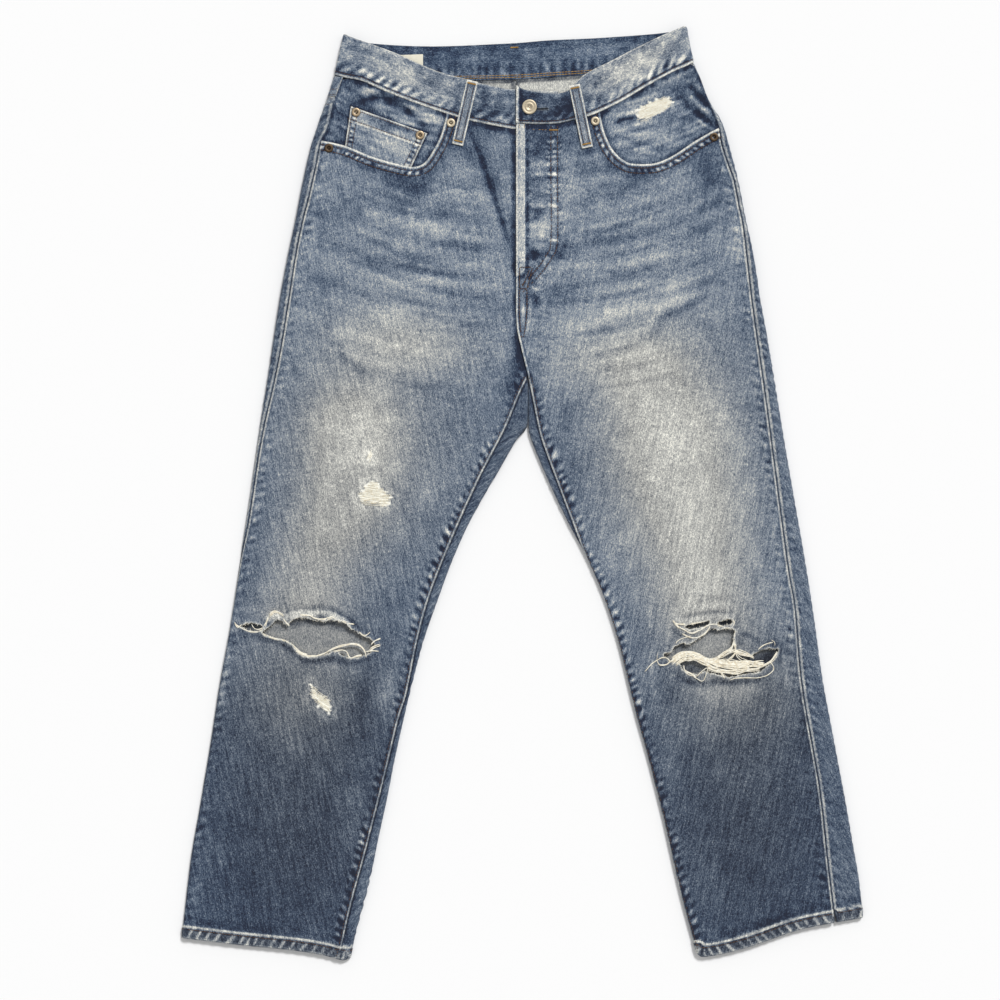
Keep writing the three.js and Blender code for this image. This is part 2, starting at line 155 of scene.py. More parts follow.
WAIST_FRONT = {
    Side.RIGHT: [(7, 389.7), (21, 392.2), (69, 402.7), (103, 413.7), (144, 429.2), (171, 440.7),
                 (201.7, 447)],
    Side.LEFT: [(-7, 396.2), (4, 395.2), (34, 395.2), (54, 399.2), (75, 404.7), (104, 418.2),
                (131, 434.2), (158, 449.2), (183.5, 460.3)],
}
WAIST_BACK = [(-201.7, 447), (-165, 443.7), (-100, 442.2), (-16, 443.2), (30, 445.7), (81, 449.2),
              (146, 455.2), (183.5, 460.3)]
YOKE_SEAM = {
    Side.RIGHT: [(7, 384), (60, 389), (120, 402), (170, 415), (212, 424), (230, 424.5)],
    Side.LEFT: [(-5, 384), (50, 391), (110, 405), (160, 419), (204, 430), (222, 431)],
}
OPENING = {
    Side.RIGHT: [(215, 377.5), (190, 372), (160, 360), (132, 352), (116, 349.5), (104, 354.5),
                 (94, 369.5), (87, 384), (82, 402), (81, 407)],
    Side.LEFT: [(210, 391), (200, 386), (183, 376), (162, 362), (144, 354), (126, 352.5),
                (111, 355), (97, 367.5), (88, 386), (84, 402), (83.4, 407.5)],
}
COIN_POCKET = [(-183.5, 414.5), (-102, 385.5), (-123, 341), (-191.5, 361)]
PATCH_POCKET = [(-72, 78), (72, 78), (66, -52), (0, -82), (-66, -52)]
PATCH_PLACE = {Side.RIGHT: (-104, 292), Side.LEFT: (100, 294)}
UNDERLAP = [(-26, 388), (38, 386), (34, 262), (12, 226), (-20, 226)]
LABEL = [(-137, 452), (-106.5, 452), (-106.5, 470.5), (-137, 469.5)]

# Belt loops: the middles of the upper and lower ends, and whether the loop lies on top.
LOOPS = {
    "front_right": ((-53.5, 441.5), (-69.5, 373), True),
    "front_left": ((55.5, 437), (69.5, 370), True),
    "back_right": ((-118, 477), (-110, 421), False),
    "back_centre": ((-10, 482), (-10, 426), False),
    "back_left": ((100, 487), (92, 431), False),
}

# Waistband stations along its length: top X, top Y, bottom X, bottom Y.
BAND_UNDER = [(38, 431, 40, 389), (12, 432, 13, 389.5), (-9, 433, -9, 390)]
BAND_RIGHT = [(-22, 434, -22, 392), (-45, 439, -48, 397), (-59, 443, -69, 402.5),
              (-93, 452.5, -103, 413.5), (-134, 470.5, -144, 429), (-162, 481, -171, 441),
              (-179, 487, -188, 444.5)]
BAND_BACK = [(-184, 488, -192, 446), (-160, 482, -165, 444), (-97, 479, -100, 442.5),
             (-16, 482, -16, 443.5), (30, 485.5, 30, 446), (83, 488, 81, 449.5),
             (148, 493, 146, 455.5), (168, 497.5, 172, 458.5)]
BAND_LEFT = [(170, 499, 176, 457.5), (148, 489.5, 158, 449.5), (122, 477, 131, 434.5),
             (95, 463, 104, 418.5), (66, 448, 75, 405), (49, 431.5, 54, 399.5),
             (33, 428.5, 34, 395.5), (4, 432, 4, 395.5), (-6.5, 437, FLY_EDGE, 396.5)]
CORNER_RIGHT = (-192, 491.5, -201.7, 447.3)
CORNER_LEFT = (176, 500, 183.5, 460.6)


# ---------------------------------------------------------------------------- plane geometry

def evenly(line: Array, step: float) -> Array:
    """Spaces a polyline's points evenly.

    Args:
        line: The points, one row each.
        step: The wanted distance between points.

    Returns:
        The new points, with the two ends kept.
    """
    line = np.asarray(line, float)
    run = np.r_[0, np.cumsum(np.linalg.norm(np.diff(line, axis=0), axis=1))]
    count = max(2, int(round(run[-1] / step)) + 1)
    at = np.linspace(0, run[-1], count)
    return np.column_stack([np.interp(at, run, line[:, k]) for k in range(line.shape[1])])


def smooth(points: Iterable[Point], step: float = 1.6, closed: bool = False) -> Array:
    """Draws a Catmull-Rom run through given points.

    Args:
        points: The points to pass through.
        step: The distance between the run's own points.
        closed: Whether the run returns to its first point.

    Returns:
        The run's points; a closed run leaves out its repeated last point.
    """
    p = np.asarray(list(points), float)
    p = np.vstack([p[-1:], p, p[:2]]) if closed else np.vstack([p[:1], p, p[-1:]])
    t = np.linspace(0, 1, 12, endpoint=False)[:, None]
    spans = [
        0.5 * (2 * b + (c - a) * t + (2 * a - 5 * b + 4 * c - d) * t**2 + (3 * b - a - 3 * c + d) * t**3)
        for a, b, c, d in zip(p[:-3], p[1:-2], p[2:-1], p[3:])
    ]
    run = evenly(np.vstack(spans + [p[-2:-1]]), step)
    return run[:-1] if closed else run


def ring_of(loop: Array) -> Array:
    """A loop with its first point again at its end."""
    return np.vstack([loop, loop[:1]])


def level(line: Iterable[Point], y: Array) -> Array:
    """The first coordinate of a line at given Y; the line runs one way in Y.

    Args:
        line: The line's points.
        y: The Y values wanted.

    Returns:
        The line's first coordinate at each.
    """
    run = smooth(line, 4)
    run = run[np.argsort(run[:, 1])]
    return np.interp(y, run[:, 1], run[:, 0])


def across(line: Iterable[Point], x: Array) -> Array:
    """The Y of a line at given X; the line runs one way in X.

    Args:
        line: The line's points.
        x: The X values wanted.

    Returns:
        The line's Y at each.
    """
    run = smooth(line, 4)
    run = run[np.argsort(run[:, 0])]
    return np.interp(x, run[:, 0], run[:, 1])


def step_up(value: Array, low: float, high: float) -> Array:
    """A smooth step from 0 at low to 1 at high."""
    t = np.clip((np.asarray(value, float) - low) / (high - low), 0, 1)
    return t * t * (3 - 2 * t)


def bump(distance: Array, width: float) -> Array:
    """A soft bell of a given half-width."""
    return np.exp(-((np.asarray(distance) / width) ** 2))


def near(at: Array, line: Array, reach: float) -> tuple[Array, Array, Array]:
    """Measures points against a polyline.

    Args:
        at: The points, one row each.
        line: The polyline.
        reach: How far from the line a point still counts.

    Returns:
        Each point's distance (infinite beyond reach), place along the line and side, +1 to its left.
    """
    distance = np.full(len(at), np.inf)
    along = np.zeros(len(at))
    side = np.ones(len(at))
    box = (at >= line.min(0) - reach) & (at <= line.max(0) + reach)
    pick = np.flatnonzero(box.all(1))
    if not len(pick):
        return distance, along, side
    p = at[pick]
    best, where, hand = distance[pick], along[pick], side[pick]
    start = 0.0
    for a, b in zip(line[:-1], line[1:]):
        ab = b - a
        length = math.hypot(*ab)
        if length < 1e-9:
            continue
        t = np.clip(((p - a) @ ab) / length**2, 0, 1)
        gap = p - a - t[:, None] * ab
        d = np.hypot(gap[:, 0], gap[:, 1])
        closer = d < best
        best[closer] = d[closer]
        where[closer] = start + t[closer] * length
        hand[closer] = np.sign(ab[0] * gap[closer, 1] - ab[1] * gap[closer, 0] + 1e-12)
        start += length
    best[best > reach] = np.inf
    distance[pick], along[pick], side[pick] = best, where, hand
    return distance, along, side


def close_to(at: Array, line: Array, reach: float) -> tuple[Array, Array, Array, Array]:
    """Picks out the points near a polyline.

    Args:
        at: The points, one row each.
        line: The polyline.
        reach: How far from the line a point still counts.

    Returns:
        The picked points' numbers, distances, places along the line and sides.
    """
    d, s, side = near(at, line, reach)
    hit = np.flatnonzero(np.isfinite(d))
    return hit, d[hit], s[hit], side[hit]


def nearest(at: Array, lines: Iterable[Array], reach: float) -> Array:
    """Each point's distance from the nearest of some polylines, infinite beyond reach.

    Args:
        at: The points.
        lines: The polylines.
        reach: How far from a line a point still counts.

    Returns:
        The distances.
    """
    least = np.full(len(at), np.inf)
    for line in lines:
        least = np.minimum(least, near(at, line, reach)[0])
    return least


def offset(line: Array, distance: float) -> Array:
    """The polyline moved to its left by a distance.

    Args:
        line: The polyline.
        distance: How far to its left.

    Returns:
        The moved polyline.
    """
    ahead = np.gradient(line, axis=0)
    ahead /= np.maximum(np.linalg.norm(ahead, axis=1, keepdims=True), 1e-9)
    return line + distance * np.column_stack([-ahead[:, 1], ahead[:, 0]])


def inside(points: Array, outline: Array) -> Array:
    """Which points lie inside a closed outline.

    Args:
        points: The points to test.
        outline: The outline's corners.

    Returns:
        True for each point inside.
    """
    order = np.argsort(points[:, 1])
    x, y = points[order, 0], points[order, 1]
    odd = np.zeros(len(points), bool)
    for a, b in zip(outline, np.roll(outline, -1, axis=0)):
        if a[1] == b[1]:
            continue
        low, high = sorted((a[1], b[1]))
        i, j = np.searchsorted(y, [low, high])
        cross = a[0] + (y[i:j] - a[1]) * (b[0] - a[0]) / (b[1] - a[1])
        odd[i:j] ^= x[i:j] < cross
    result = np.zeros(len(points), bool)
    result[order] = odd
    return result


def on_cloth(points: Array, outline: Array, holes: Iterable[Array]) -> Array:
    """Which points lie inside an outline and outside its holes.

    Args:
        points: The points to test.
        outline: The outline.
        holes: The holes' outlines.

    Returns:
        True for each point on the cloth.
    """
    kept = inside(points, outline)
    for hole in holes:
        kept &= ~inside(points, hole)
    return kept


def thinned(points: Array, apart: float) -> Array:
    """The points without those that crowd one another."""
    _, first = np.unique(np.round(points / apart).astype(np.int64), axis=0, return_index=True)
    return points[np.sort(first)]


def area_of(outline: Array) -> float:
    """The area that a closed outline holds."""
    x, y = outline[:, 0], outline[:, 1]
    return abs(float(np.dot(x, np.roll(y, -1)) - np.dot(y, np.roll(x, -1)))) / 2


def lattice(i: Array, j: Array, seed: int) -> Array:
    """A repeatable random value from 0 to 1 for each whole-numbered place.

    Args:
        i: The places' first numbers.
        j: Their second numbers.
        seed: Which values.

    Returns:
        The values.
    """
    n = (i * 374761393 + j * 668265263 + seed * 144269504) & 0xFFFFFFFF
    n = ((n ^ (n >> 13)) * 1274126177) & 0xFFFFFFFF
    return ((n ^ (n >> 16)) & 0xFFFF) / 65535.0


def cloudy(at: Array, size: Point, seed: int) -> Array:
    """Smooth noise over the plane.

    Args:
        at: The points.
        size: The noise's grain along X and Y.
        seed: Which noise.

    Returns:
        Values from -1 to 1.
    """
    q = at / np.asarray(size, float)
    i = np.floor(q).astype(np.int64)
    f = q - i
    f = f * f * (3 - 2 * f)
    ix, iy = i[:, 0], i[:, 1]
    a, b = lattice(ix, iy, seed), lattice(ix + 1, iy, seed)
    c, d = lattice(ix, iy + 1, seed), lattice(ix + 1, iy + 1, seed)
    low = a + (b - a) * f[:, 0]
    high = c + (d - c) * f[:, 0]
    return 2 * (low + (high - low) * f[:, 1]) - 1


def wander(along: Array, size: float, seed: int) -> Array:
    """Smooth noise along a line, from -1 to 1."""
    return cloudy(np.column_stack([along, np.zeros(len(along))]), (size, 1), seed)


# ---------------------------------------------------------------------------- the laid-out body

def ramp(y: Array) -> Array:
    """How far the seat is lifted at a given Y, from 0 to 1."""
    return np.clip((y - SEAT_FROM) / (SEAT_TO - SEAT_FROM), 0, 1)


def body_low(y: Array) -> Array:
    """Height of the body's underside."""
    return LEG_LOW + (SEAT_LOW - LEG_LOW) * ramp(y)


def body_high(y: Array) -> Array:
    """Height of the body's top."""
    return LEG_HIGH + (SEAT_HIGH - LEG_HIGH) * ramp(y)


@dataclass(frozen=True)
class Wrap:
    """Lays a flat panel on one half of the body, round its folded edges.

    A panel's own coordinates are its plan ones on the level, and run on round the half-round folds.

    Attributes:
        side: Which half of the body.
        from_top: Whether the panel lies on the front, and not on the back.
    """

    side: Side
    from_top: bool

    def edges(self, y: Array) -> tuple[Array, Array]:
        """The inner and outer folds at each Y, measured outwards from the centre.

        Args:
            y: The Y values wanted.

        Returns:
            The inner fold and the outer one.
        """
        inner = level(INNER[self.side], np.minimum(y, CROTCH))
        inner = inner - 3.0 * np.clip(y - CROTCH, 0, None)
        return inner, level(OUTER[self.side], y)

    def __call__(self, at: Array) -> tuple[Array, Array]:
        """Places panel coordinates in space.

        Args:
            at: The panel's own coordinates.

        Returns:
            The places and the outward normals.
        """
        q, y = at[:, 0] * self.side.value, at[:, 1]
        inner, outer = self.edges(y)
        low, high = body_low(y), body_high(y)
        radius = (high - low) / 2
        middle = (high + low) / 2
        up = 1.0 if self.from_top else -1.0
        out = q.copy()
        z = np.where(self.from_top, high, low)
        nq, nz = np.zeros(len(q)), np.full(len(q), up)
        for fold, sign in ((outer, 1.0), (inner, -1.0)):
            start = fold - sign * radius
            beyond = sign * (q - start)
            a = np.clip(beyond / radius, 0, math.pi)
            past = np.maximum(beyond - math.pi * radius, 0)
            turned = beyond > 0
            out = np.where(turned, start + sign * (radius * np.sin(a) - past), out)
            z = np.where(turned, middle + up * radius * np.cos(a), z)
            nq = np.where(turned, sign * np.sin(a), nq)
            nz = np.where(turned, up * np.cos(a), nz)
        place = np.column_stack([out * self.side.value, y, z])
        return place, np.column_stack([nq * self.side.value, np.zeros(len(q)), nz])

    def reach(self, seam: Iterable[Point], y: Array, outer_side: bool) -> Array:
        """Where a seam on the far side of a fold lies in this panel's own coordinates.

        Args:
            seam: The seam in plan, measured outwards from the centre.
            y: The Y values wanted.
            outer_side: Whether the fold is the outer one.

        Returns:
            The panel's own coordinates, one row for each Y.
        """
        inner, outer = self.edges(y)
        fold, sign = (outer, 1.0) if outer_side else (inner, -1.0)
        radius = (body_high(y) - body_low(y)) / 2
        depth = np.clip(sign * (fold - level(seam, y)), -radius, None)
        turn = math.pi - np.arcsin(np.clip((radius - depth) / radius, -1, 1))
        turn = np.where(sign * (fold - level(seam, y)) < 0, math.pi / 2, turn)
        beyond = np.where(depth < radius, radius * turn, math.pi * radius + depth - radius)
        q = fold - sign * radius + sign * beyond
        return np.column_stack([q * self.side.value, y])


@dataclass
class Relief:
    """What a panel's surface carries at each of its points.

    Attributes:
        rise: Height off the plain surface.
        tone: How pale the cloth is painted, 0 for new indigo and 1 for white; besides worn dye it holds
            painted shade and painted highlight at folds, seams and holes.
        grey: How much of its blue the dye has lost, from 0 to 1.
        crush: How strongly the dye is mottled, 1 on plain ground.
    """

    rise: Array
    tone: Array
    grey: Array
    crush: Array


# ---------------------------------------------------------------------------- what marks a panel

@dataclass(frozen=True)
class Fade:
    """A soft patch of changed tone: dye worn off or stayed, and in some places painted shade, such as shadow
    under a fold, a button or a belt loop.

    Attributes:
        x: Its middle's X.
        y: Its middle's Y.
        across: Its half-width.
        along: Its half-length.
        amount: What it adds to the tone.
        lean: Its turn from upright, in degrees.
        grey: How much blue it takes away.
        rise: Its height.
        crush: What it adds to the mottling.
    """

    x: float
    y: float
    across: float
    along: float
    amount: float
    lean: float = 0.0
    grey: float = 0.0
    rise: float = 0.0
    crush: float = 0.0

    def lay(self, at: Array, on: Relief) -> None:
        """Adds the patch to a panel.

        Args:
            at: The points, in the panel's own coordinates.
            on: What the panel carries there.
        """
        a = math.radians(self.lean)
        dx, dy = at[:, 0] - self.x, at[:, 1] - self.y
        u = (dx * math.cos(a) + dy * math.sin(a)) / self.across
        v = (dy * math.cos(a) - dx * math.sin(a)) / self.along
        g = np.exp(-(u * u + v * v))
        on.tone += self.amount * g
        on.grey += self.grey * g
        on.rise += self.rise * g
        on.crush += self.crush * g


@dataclass(frozen=True)
class Grade:
    """A change of tone that comes in down the leg and stays.

    Attributes:
        start: The Y where it begins.
        stop: The Y where it is full.
        amount: What it adds to the tone.
        lean: How far it slants across the leg.
    """

    start: float
    stop: float
    amount: float
    lean: float = 0.0

    def lay(self, at: Array, on: Relief) -> None:
        """Adds the change to a panel.

        Args:
            at: The points, in the panel's own coordinates.
            on: What the panel carries there.
        """
        down = -at[:, 1] - self.lean * at[:, 0]
        on.tone += self.amount * step_up(down, -self.start, -self.stop)


@dataclass(frozen=True)
class Bare:
    """A spot worn down to its pale weft.

    Attributes:
        loop: Its outline.
        tone: How pale it is.
    """

    loop: Array
    tone: float = 1.14

    def lay(self, at: Array, on: Relief) -> None:
        """Adds the spot to a panel.

        Args:
            at: The points, in the panel's own coordinates.
            on: What the panel carries there.
        """
        hit, d, s, _ = close_to(at, ring_of(self.loop), 12)
        ragged = 2.4 * wander(s, 3.4, 7) + 2.4 * cloudy(at[hit], (5, 1.8), 9)
        depth = np.where(inside(at[hit], self.loop), d, -d) + ragged
        worn = step_up(depth, -1.2, 1.6)
        on.tone[hit] += 0.13 * bump(depth + 4, 4) - 0.10 * bump(depth + 1.8, 1.0)
        on.tone[hit] += (self.tone - on.tone[hit]) * worn
        on.grey[hit] += (1 - on.grey[hit]) * worn
        on.rise[hit] -= 0.35 * worn


@dataclass(frozen=True)
class HemWork:
    """A hem: roped blocks between its edge and its stitches, and the worn line above them.

    Attributes:
        points: The hem's edge.
        seed: Which unevenness.
        pitch: Distance from block to block.
    """

    points: Array
    seed: int
    pitch: float = 9.8

    def lay(self, at: Array, on: Relief) -> None:
        """Adds the hem to a panel.

        Args:
            at: The points, in the panel's own coordinates.
            on: What the panel carries there.
        """
        hit, d, s, _ = close_to(at, self.points, 26)
        phase = s / self.pitch + 0.045 * d + 0.5 * wander(s, 27, self.seed)
        wave = np.sin(2 * math.pi * phase)
        dash = step_up(wave, 0.25, 0.9) * np.clip(1.0 + 0.6 * wander(s, 13, self.seed + 1), 0.35, 1.35)
        blotch = cloudy(np.column_stack([s, d]), (5, 4), self.seed + 2)
        band = 1 - step_up(d, 9.6, 11.2)
        # The last term darkens the stitch groove as painted shade.
        tone = 0.26 + 0.36 * dash * step_up(d, 0.2, 2.0) + 0.06 * blotch - 0.22 * bump(d - 10.1, 0.8)
        tone += (0.20 + 0.12 * blotch) * (1 - step_up(d, 1.0, 3.0))
        on.tone[hit] += (tone - on.tone[hit]) * band
        line = step_up(d, 10.9, 11.7) * (1 - step_up(d, 13.6, 15.0))
        line *= np.clip(0.9 + 0.25 * wander(s, 4, self.seed + 3), 0, 1)
        on.tone[hit] += (0.80 - on.tone[hit]) * line
        on.grey[hit] += (0.9 - on.grey[hit]) * np.maximum(line, 0.7 * band)
        above = bump(d - 19, 5) * np.clip(0.6 + 0.8 * wander(s, 15, self.seed + 4), 0, 1.4)
        on.tone[hit] -= 0.09 * above
        allowance = 1 - step_up(d, 12.5, 15.5)
        on.rise[hit] += 0.75 * allowance + 0.42 * wave * band - 0.5 * bump(d - 10.6, 0.8) - 0.6 * bump(d, 0.9)


@dataclass(frozen=True)
class Crease:
    """A soft trough or ridge, with the tone that follows it: worn dye, and on dark troughs partly painted
    shade.

    Attributes:
        points: The line of the crease.
        width: Its half-width.
        rise: Its height, negative for a trough.
        tone: What it adds to the tone.
        beside: What the cloth just to its left gains in tone.
    """

    points: tuple[Point, ...]
    width: float
    rise: float
    tone: float
    beside: float = 0.0

    def lay(self, at: Array, on: Relief) -> None:
        """Adds the crease to a panel.

        Args:
            at: The points, in the panel's own coordinates.
            on: What the panel carries there.
        """
        line = smooth(self.points, 5)
        hit, d, s, side = close_to(at, line, 4 * self.width)
        length = np.linalg.norm(np.diff(line, axis=0), axis=1).sum()
        ends = step_up(s, 0, 0.3 * length) * (1 - step_up(s, 0.7 * length, length))
        ragged = 1 + 0.35 * wander(s, 9, 5) + 0.25 * wander(s, 3.6, 6)
        g = bump(d, self.width) * ends * ragged
        on.rise[hit] += self.rise * g
        on.tone[hit] += self.tone * g
        if self.beside:
            next_to = bump(side * d - 1.8 * self.width, self.width) * ends * ragged
            on.tone[hit] += self.beside * next_to
            on.rise[hit] -= 0.6 * self.rise * next_to


@dataclass(frozen=True)
class Cloud:
    """Uneven ground: soft swells and mottled dye all over a panel.

    Attributes:
        size: Its grain along X and Y.
        rise: Height of the swells.
        tone: Strength of the mottling.
        seed: Which unevenness.
    """

    size: tuple[float, float]
    rise: float
    tone: float
    seed: int

    def lay(self, at: Array, on: Relief) -> None:
        """Adds the unevenness to a panel.

        Args:
            at: The points, in the panel's own coordinates.
            on: What the panel carries there.
        """
        noise = cloudy(at, self.size, self.seed)
        on.rise += self.rise * noise
        on.tone += self.tone * noise


@dataclass(frozen=True)
class Fan:
    """Long curved streaks that run round a far centre, as where the hip bends.

    Attributes:
        x: The centre's X.
        y: The centre's Y.
        radius: Distance of the fan's middle from it.
        reach: Half-width of the fan, outwards from its middle.
        angle: Turn of its middle from straight down, in degrees, towards +X.
        spread: Its half-width in degrees.
        size: Length and width of the streaks.
        tone: What they add to the tone.
        rise: Their height.
        seed: Which streaks.
    """

    x: float
    y: float
    radius: float
    reach: float
    angle: float
    spread: float
    size: tuple[float, float]
    tone: float
    rise: float
    seed: int

    def lay(self, at: Array, on: Relief) -> None:
        """Adds the streaks to a panel.

        Args:
            at: The points, in the panel's own coordinates.
            on: What the panel carries there.
        """
        dx, dy = at[:, 0] - self.x, self.y - at[:, 1]
        r = np.hypot(dx, dy)
        turn = np.degrees(np.arctan2(dx, dy))
        window = bump(r - self.radius, self.reach) * bump(turn - self.angle, self.spread)
        polar = np.column_stack([np.radians(turn) * self.radius, r])
        streaks = cloudy(polar, self.size, self.seed) * window
        on.tone += self.tone * streaks
        on.rise += self.rise * streaks


@dataclass(frozen=True)
class Seam:
    """A sewn edge or row: worn edge, groove darkened with painted shade, raised allowance and puckers.

    Attributes:
        points: The line of the seam.
        edge: How pale the worn edge is.
        edge_width: Half-width of the worn edge.
        rise: Height of the allowance under the cloth.
        width: Width of the allowance.
        rows: Distances of the stitch grooves from the line.
        pitch: Distance between puckers.
        pucker: Height of the puckers.
        contrast: Tone of the puckers.
        start: Where the puckers begin, off the line.
        stop: Where they end.
        lean: How far the puckers slant.
        shade: What the allowance adds to the tone.
        seed: Which unevenness.
        roll: How far the very edge rolls down.
        edge_at: How far in the worn line lies; when set, painted shade lines run along the seam's edge and
            just past the worn line.
    """

    points: Array
    edge: float = 0.0
    edge_width: float = 0.9
    rise: float = 0.5
    width: float = 9.0
    rows: tuple[float, ...] = ()
    pitch: float = 9.0
    pucker: float = 0.35
    contrast: float = 0.09
    start: float = 3.0
    stop: float = 13.0
    lean: float = 0.4
    shade: float = 0.0
    seed: int = 1
    roll: float = 0.4
    edge_at: float = 0.0

    def lay(self, at: Array, on: Relief) -> None:
        """Adds the seam to a panel.

        Args:
            at: The points, in the panel's own coordinates.
            on: What the panel carries there.
        """
        hit, d, s, _ = close_to(at, self.points, self.stop + 8)
        phase = s / self.pitch + self.lean * d / self.pitch + 0.45 * wander(s, 2.6 * self.pitch, self.seed)
        wave = np.sin(2 * math.pi * phase)
        wave = 0.75 * np.sign(wave) * np.abs(wave) ** 0.7
        tall = max(3.0, 0.45 * (self.stop - self.start))
        slant = np.column_stack([s + self.lean * d, d])
        wave = wave + 0.8 * cloudy(slant, (0.42 * self.pitch, tall), self.seed + 5)
        strength = np.clip(0.85 + 0.7 * wander(s, 3.1 * self.pitch, self.seed + 7), 0.1, 1.5)
        window = step_up(d, self.start - 1.5, self.start + 1.5)
        window *= 1 - step_up(d, self.stop - 4, self.stop + 3)
        allowance = 1 - step_up(d, self.width - 1.2, self.width + 1.2)
        rise = self.rise * allowance + self.pucker * wave * window * strength
        tone = self.contrast * wave * window * strength + self.shade * allowance
        # Each stitch groove is darkened as painted shade.
        for row in self.rows:
            rise -= 0.35 * bump(d - row, 0.7)
            tone -= 0.05 * bump(d - row, 0.8)
        rise -= self.roll * bump(d, 0.9)
        on.rise[hit] += rise
        on.tone[hit] += tone
        if self.edge:
            if self.edge_at:
                # Painted shade: a dark line at the seam's edge and another just past the worn line.
                on.tone[hit] -= 0.22 * bump(d, 0.6) + 0.12 * bump(d - self.edge_at - 2.0, 0.9)
            worn = bump(d - self.edge_at, self.edge_width)
            worn = worn * np.clip(0.9 + 0.3 * wander(s, 6, self.seed + 3), 0, 1)
            on.tone[hit] += (self.edge - on.tone[hit]) * worn
            on.grey[hit] += (0.9 - on.grey[hit]) * worn


@dataclass(frozen=True)
class Strip:
    """A band of the panel, between two distances from a line, that stands up, is worn pale, or is darkened as
    painted shade along a seam, groove or edge.

    Attributes:
        points: The line.
        start: Where the band begins, off the line.
        stop: Where it ends.
        rise: Its height.
        tone: What it adds to the tone.
        toward: The tone that it is drawn to.
        strength: How strongly it is drawn there, from 0 to 1.
        soft: Softness of its two sides.
        rough: How patchy it is.
        seed: Which unevenness.
    """

    points: Array
    start: float
    stop: float
    rise: float = 0.0
    tone: float = 0.0
    toward: float = 0.0
    strength: float = 0.0
    soft: float = 0.8
    rough: float = 0.3
    seed: int = 3

    def lay(self, at: Array, on: Relief) -> None:
        """Adds the band to a panel.

        Args:
            at: The points, in the panel's own coordinates.
            on: What the panel carries there.
        """
        hit, d, s, _ = close_to(at, self.points, self.stop + 4 * self.soft + 2)
        lower = step_up(d, self.start - self.soft, self.start + self.soft) if self.start > 0 else 1.0
        band = lower * (1 - step_up(d, self.stop - self.soft, self.stop + self.soft))
        patchy = 1 + self.rough * wander(s, 5, self.seed) + 0.6 * self.rough * wander(s, 17, self.seed + 1)
        on.rise[hit] += self.rise * band
        on.tone[hit] += self.tone * band * patchy
        if self.strength:
            on.tone[hit] += (self.toward - on.tone[hit]) * np.clip(self.strength * band * patchy, 0, 1)


@dataclass(frozen=True)
class Torn:
    """A raw edge round a hole: curled up and frayed pale.

    Attributes:
        loop: The hole's outline.
        curl: How far the edge curls up.
        tone: How pale it is.
        width: Half-width of its pale line.
        seed: Which unevenness.
    """

    loop: Array
    curl: float = 1.0
    tone: float = 0.86
    width: float = 1.6
    seed: int = 11

    def lay(self, at: Array, on: Relief) -> None:
        """Adds the raw edge to a panel.

        Args:
            at: The points, in the panel's own coordinates.
            on: What the panel carries there.
        """
        hit, d, s, _ = close_to(at, ring_of(self.loop), 16)
        rough = 1 + 0.7 * wander(s, 7, self.seed) + 0.4 * wander(s, 2.3, self.seed + 1)
        on.rise[hit] += self.curl * bump(d, 4.5) * rough
        worn = np.clip(bump(d, self.width) * rough, 0, 1)
        on.tone[hit] += (self.tone - on.tone[hit]) * worn
        on.grey[hit] += (1 - on.grey[hit]) * worn
        # A darker band a few millimetres in from the edge is painted shadow of the curled edge.
        on.tone[hit] -= 0.05 * bump(d - 6, 4) * np.clip(rough, 0, 2)


Mark = Fade | Grade | Bare | HemWork | Crease | Cloud | Fan | Seam | Strip | Torn


# ---------------------------------------------------------------------------- shaders

class Knot:
    """One output of a shader node, with Python's operators for its sums."""

    def __init__(self, weave: "Weave", socket: bpy.types.NodeSocket) -> None:
        """Wraps a socket of a material that is being woven."""
        self.weave = weave
        self.socket = socket

    def _math(self, operation: str, a: "Knot | float", b: "Knot | float" = 0.0) -> "Knot":
        """Adds a Math node."""
        return self.weave.node("ShaderNodeMath", {"operation": operation}, {0: a, 1: b})

    def __add__(self, other: "Knot | float") -> "Knot":
        """The sum."""
        return self._math("ADD", self, other)

    def __radd__(self, other: float) -> "Knot":
        """The sum, from the right."""
        return self._math("ADD", other, self)

    def __sub__(self, other: "Knot | float") -> "Knot":
        """The difference."""
        return self._math("SUBTRACT", self, other)

    def __rsub__(self, other: float) -> "Knot":
        """The difference, from the right."""
        return self._math("SUBTRACT", other, self)

    def __mul__(self, other: "Knot | float") -> "Knot":
        """The product."""
        return self._math("MULTIPLY", self, other)

    def __rmul__(self, other: float) -> "Knot":
        """The product, from the right."""
        return self._math("MULTIPLY", other, self)

    def sine(self) -> "Knot":
        """The sine."""
        return self._math("SINE", self)

    def clamp(self) -> "Knot":
        """The value kept from 0 to 1."""
        return self.weave.node("ShaderNodeClamp", {}, {0: self, 1: 0.0, 2: 1.0})


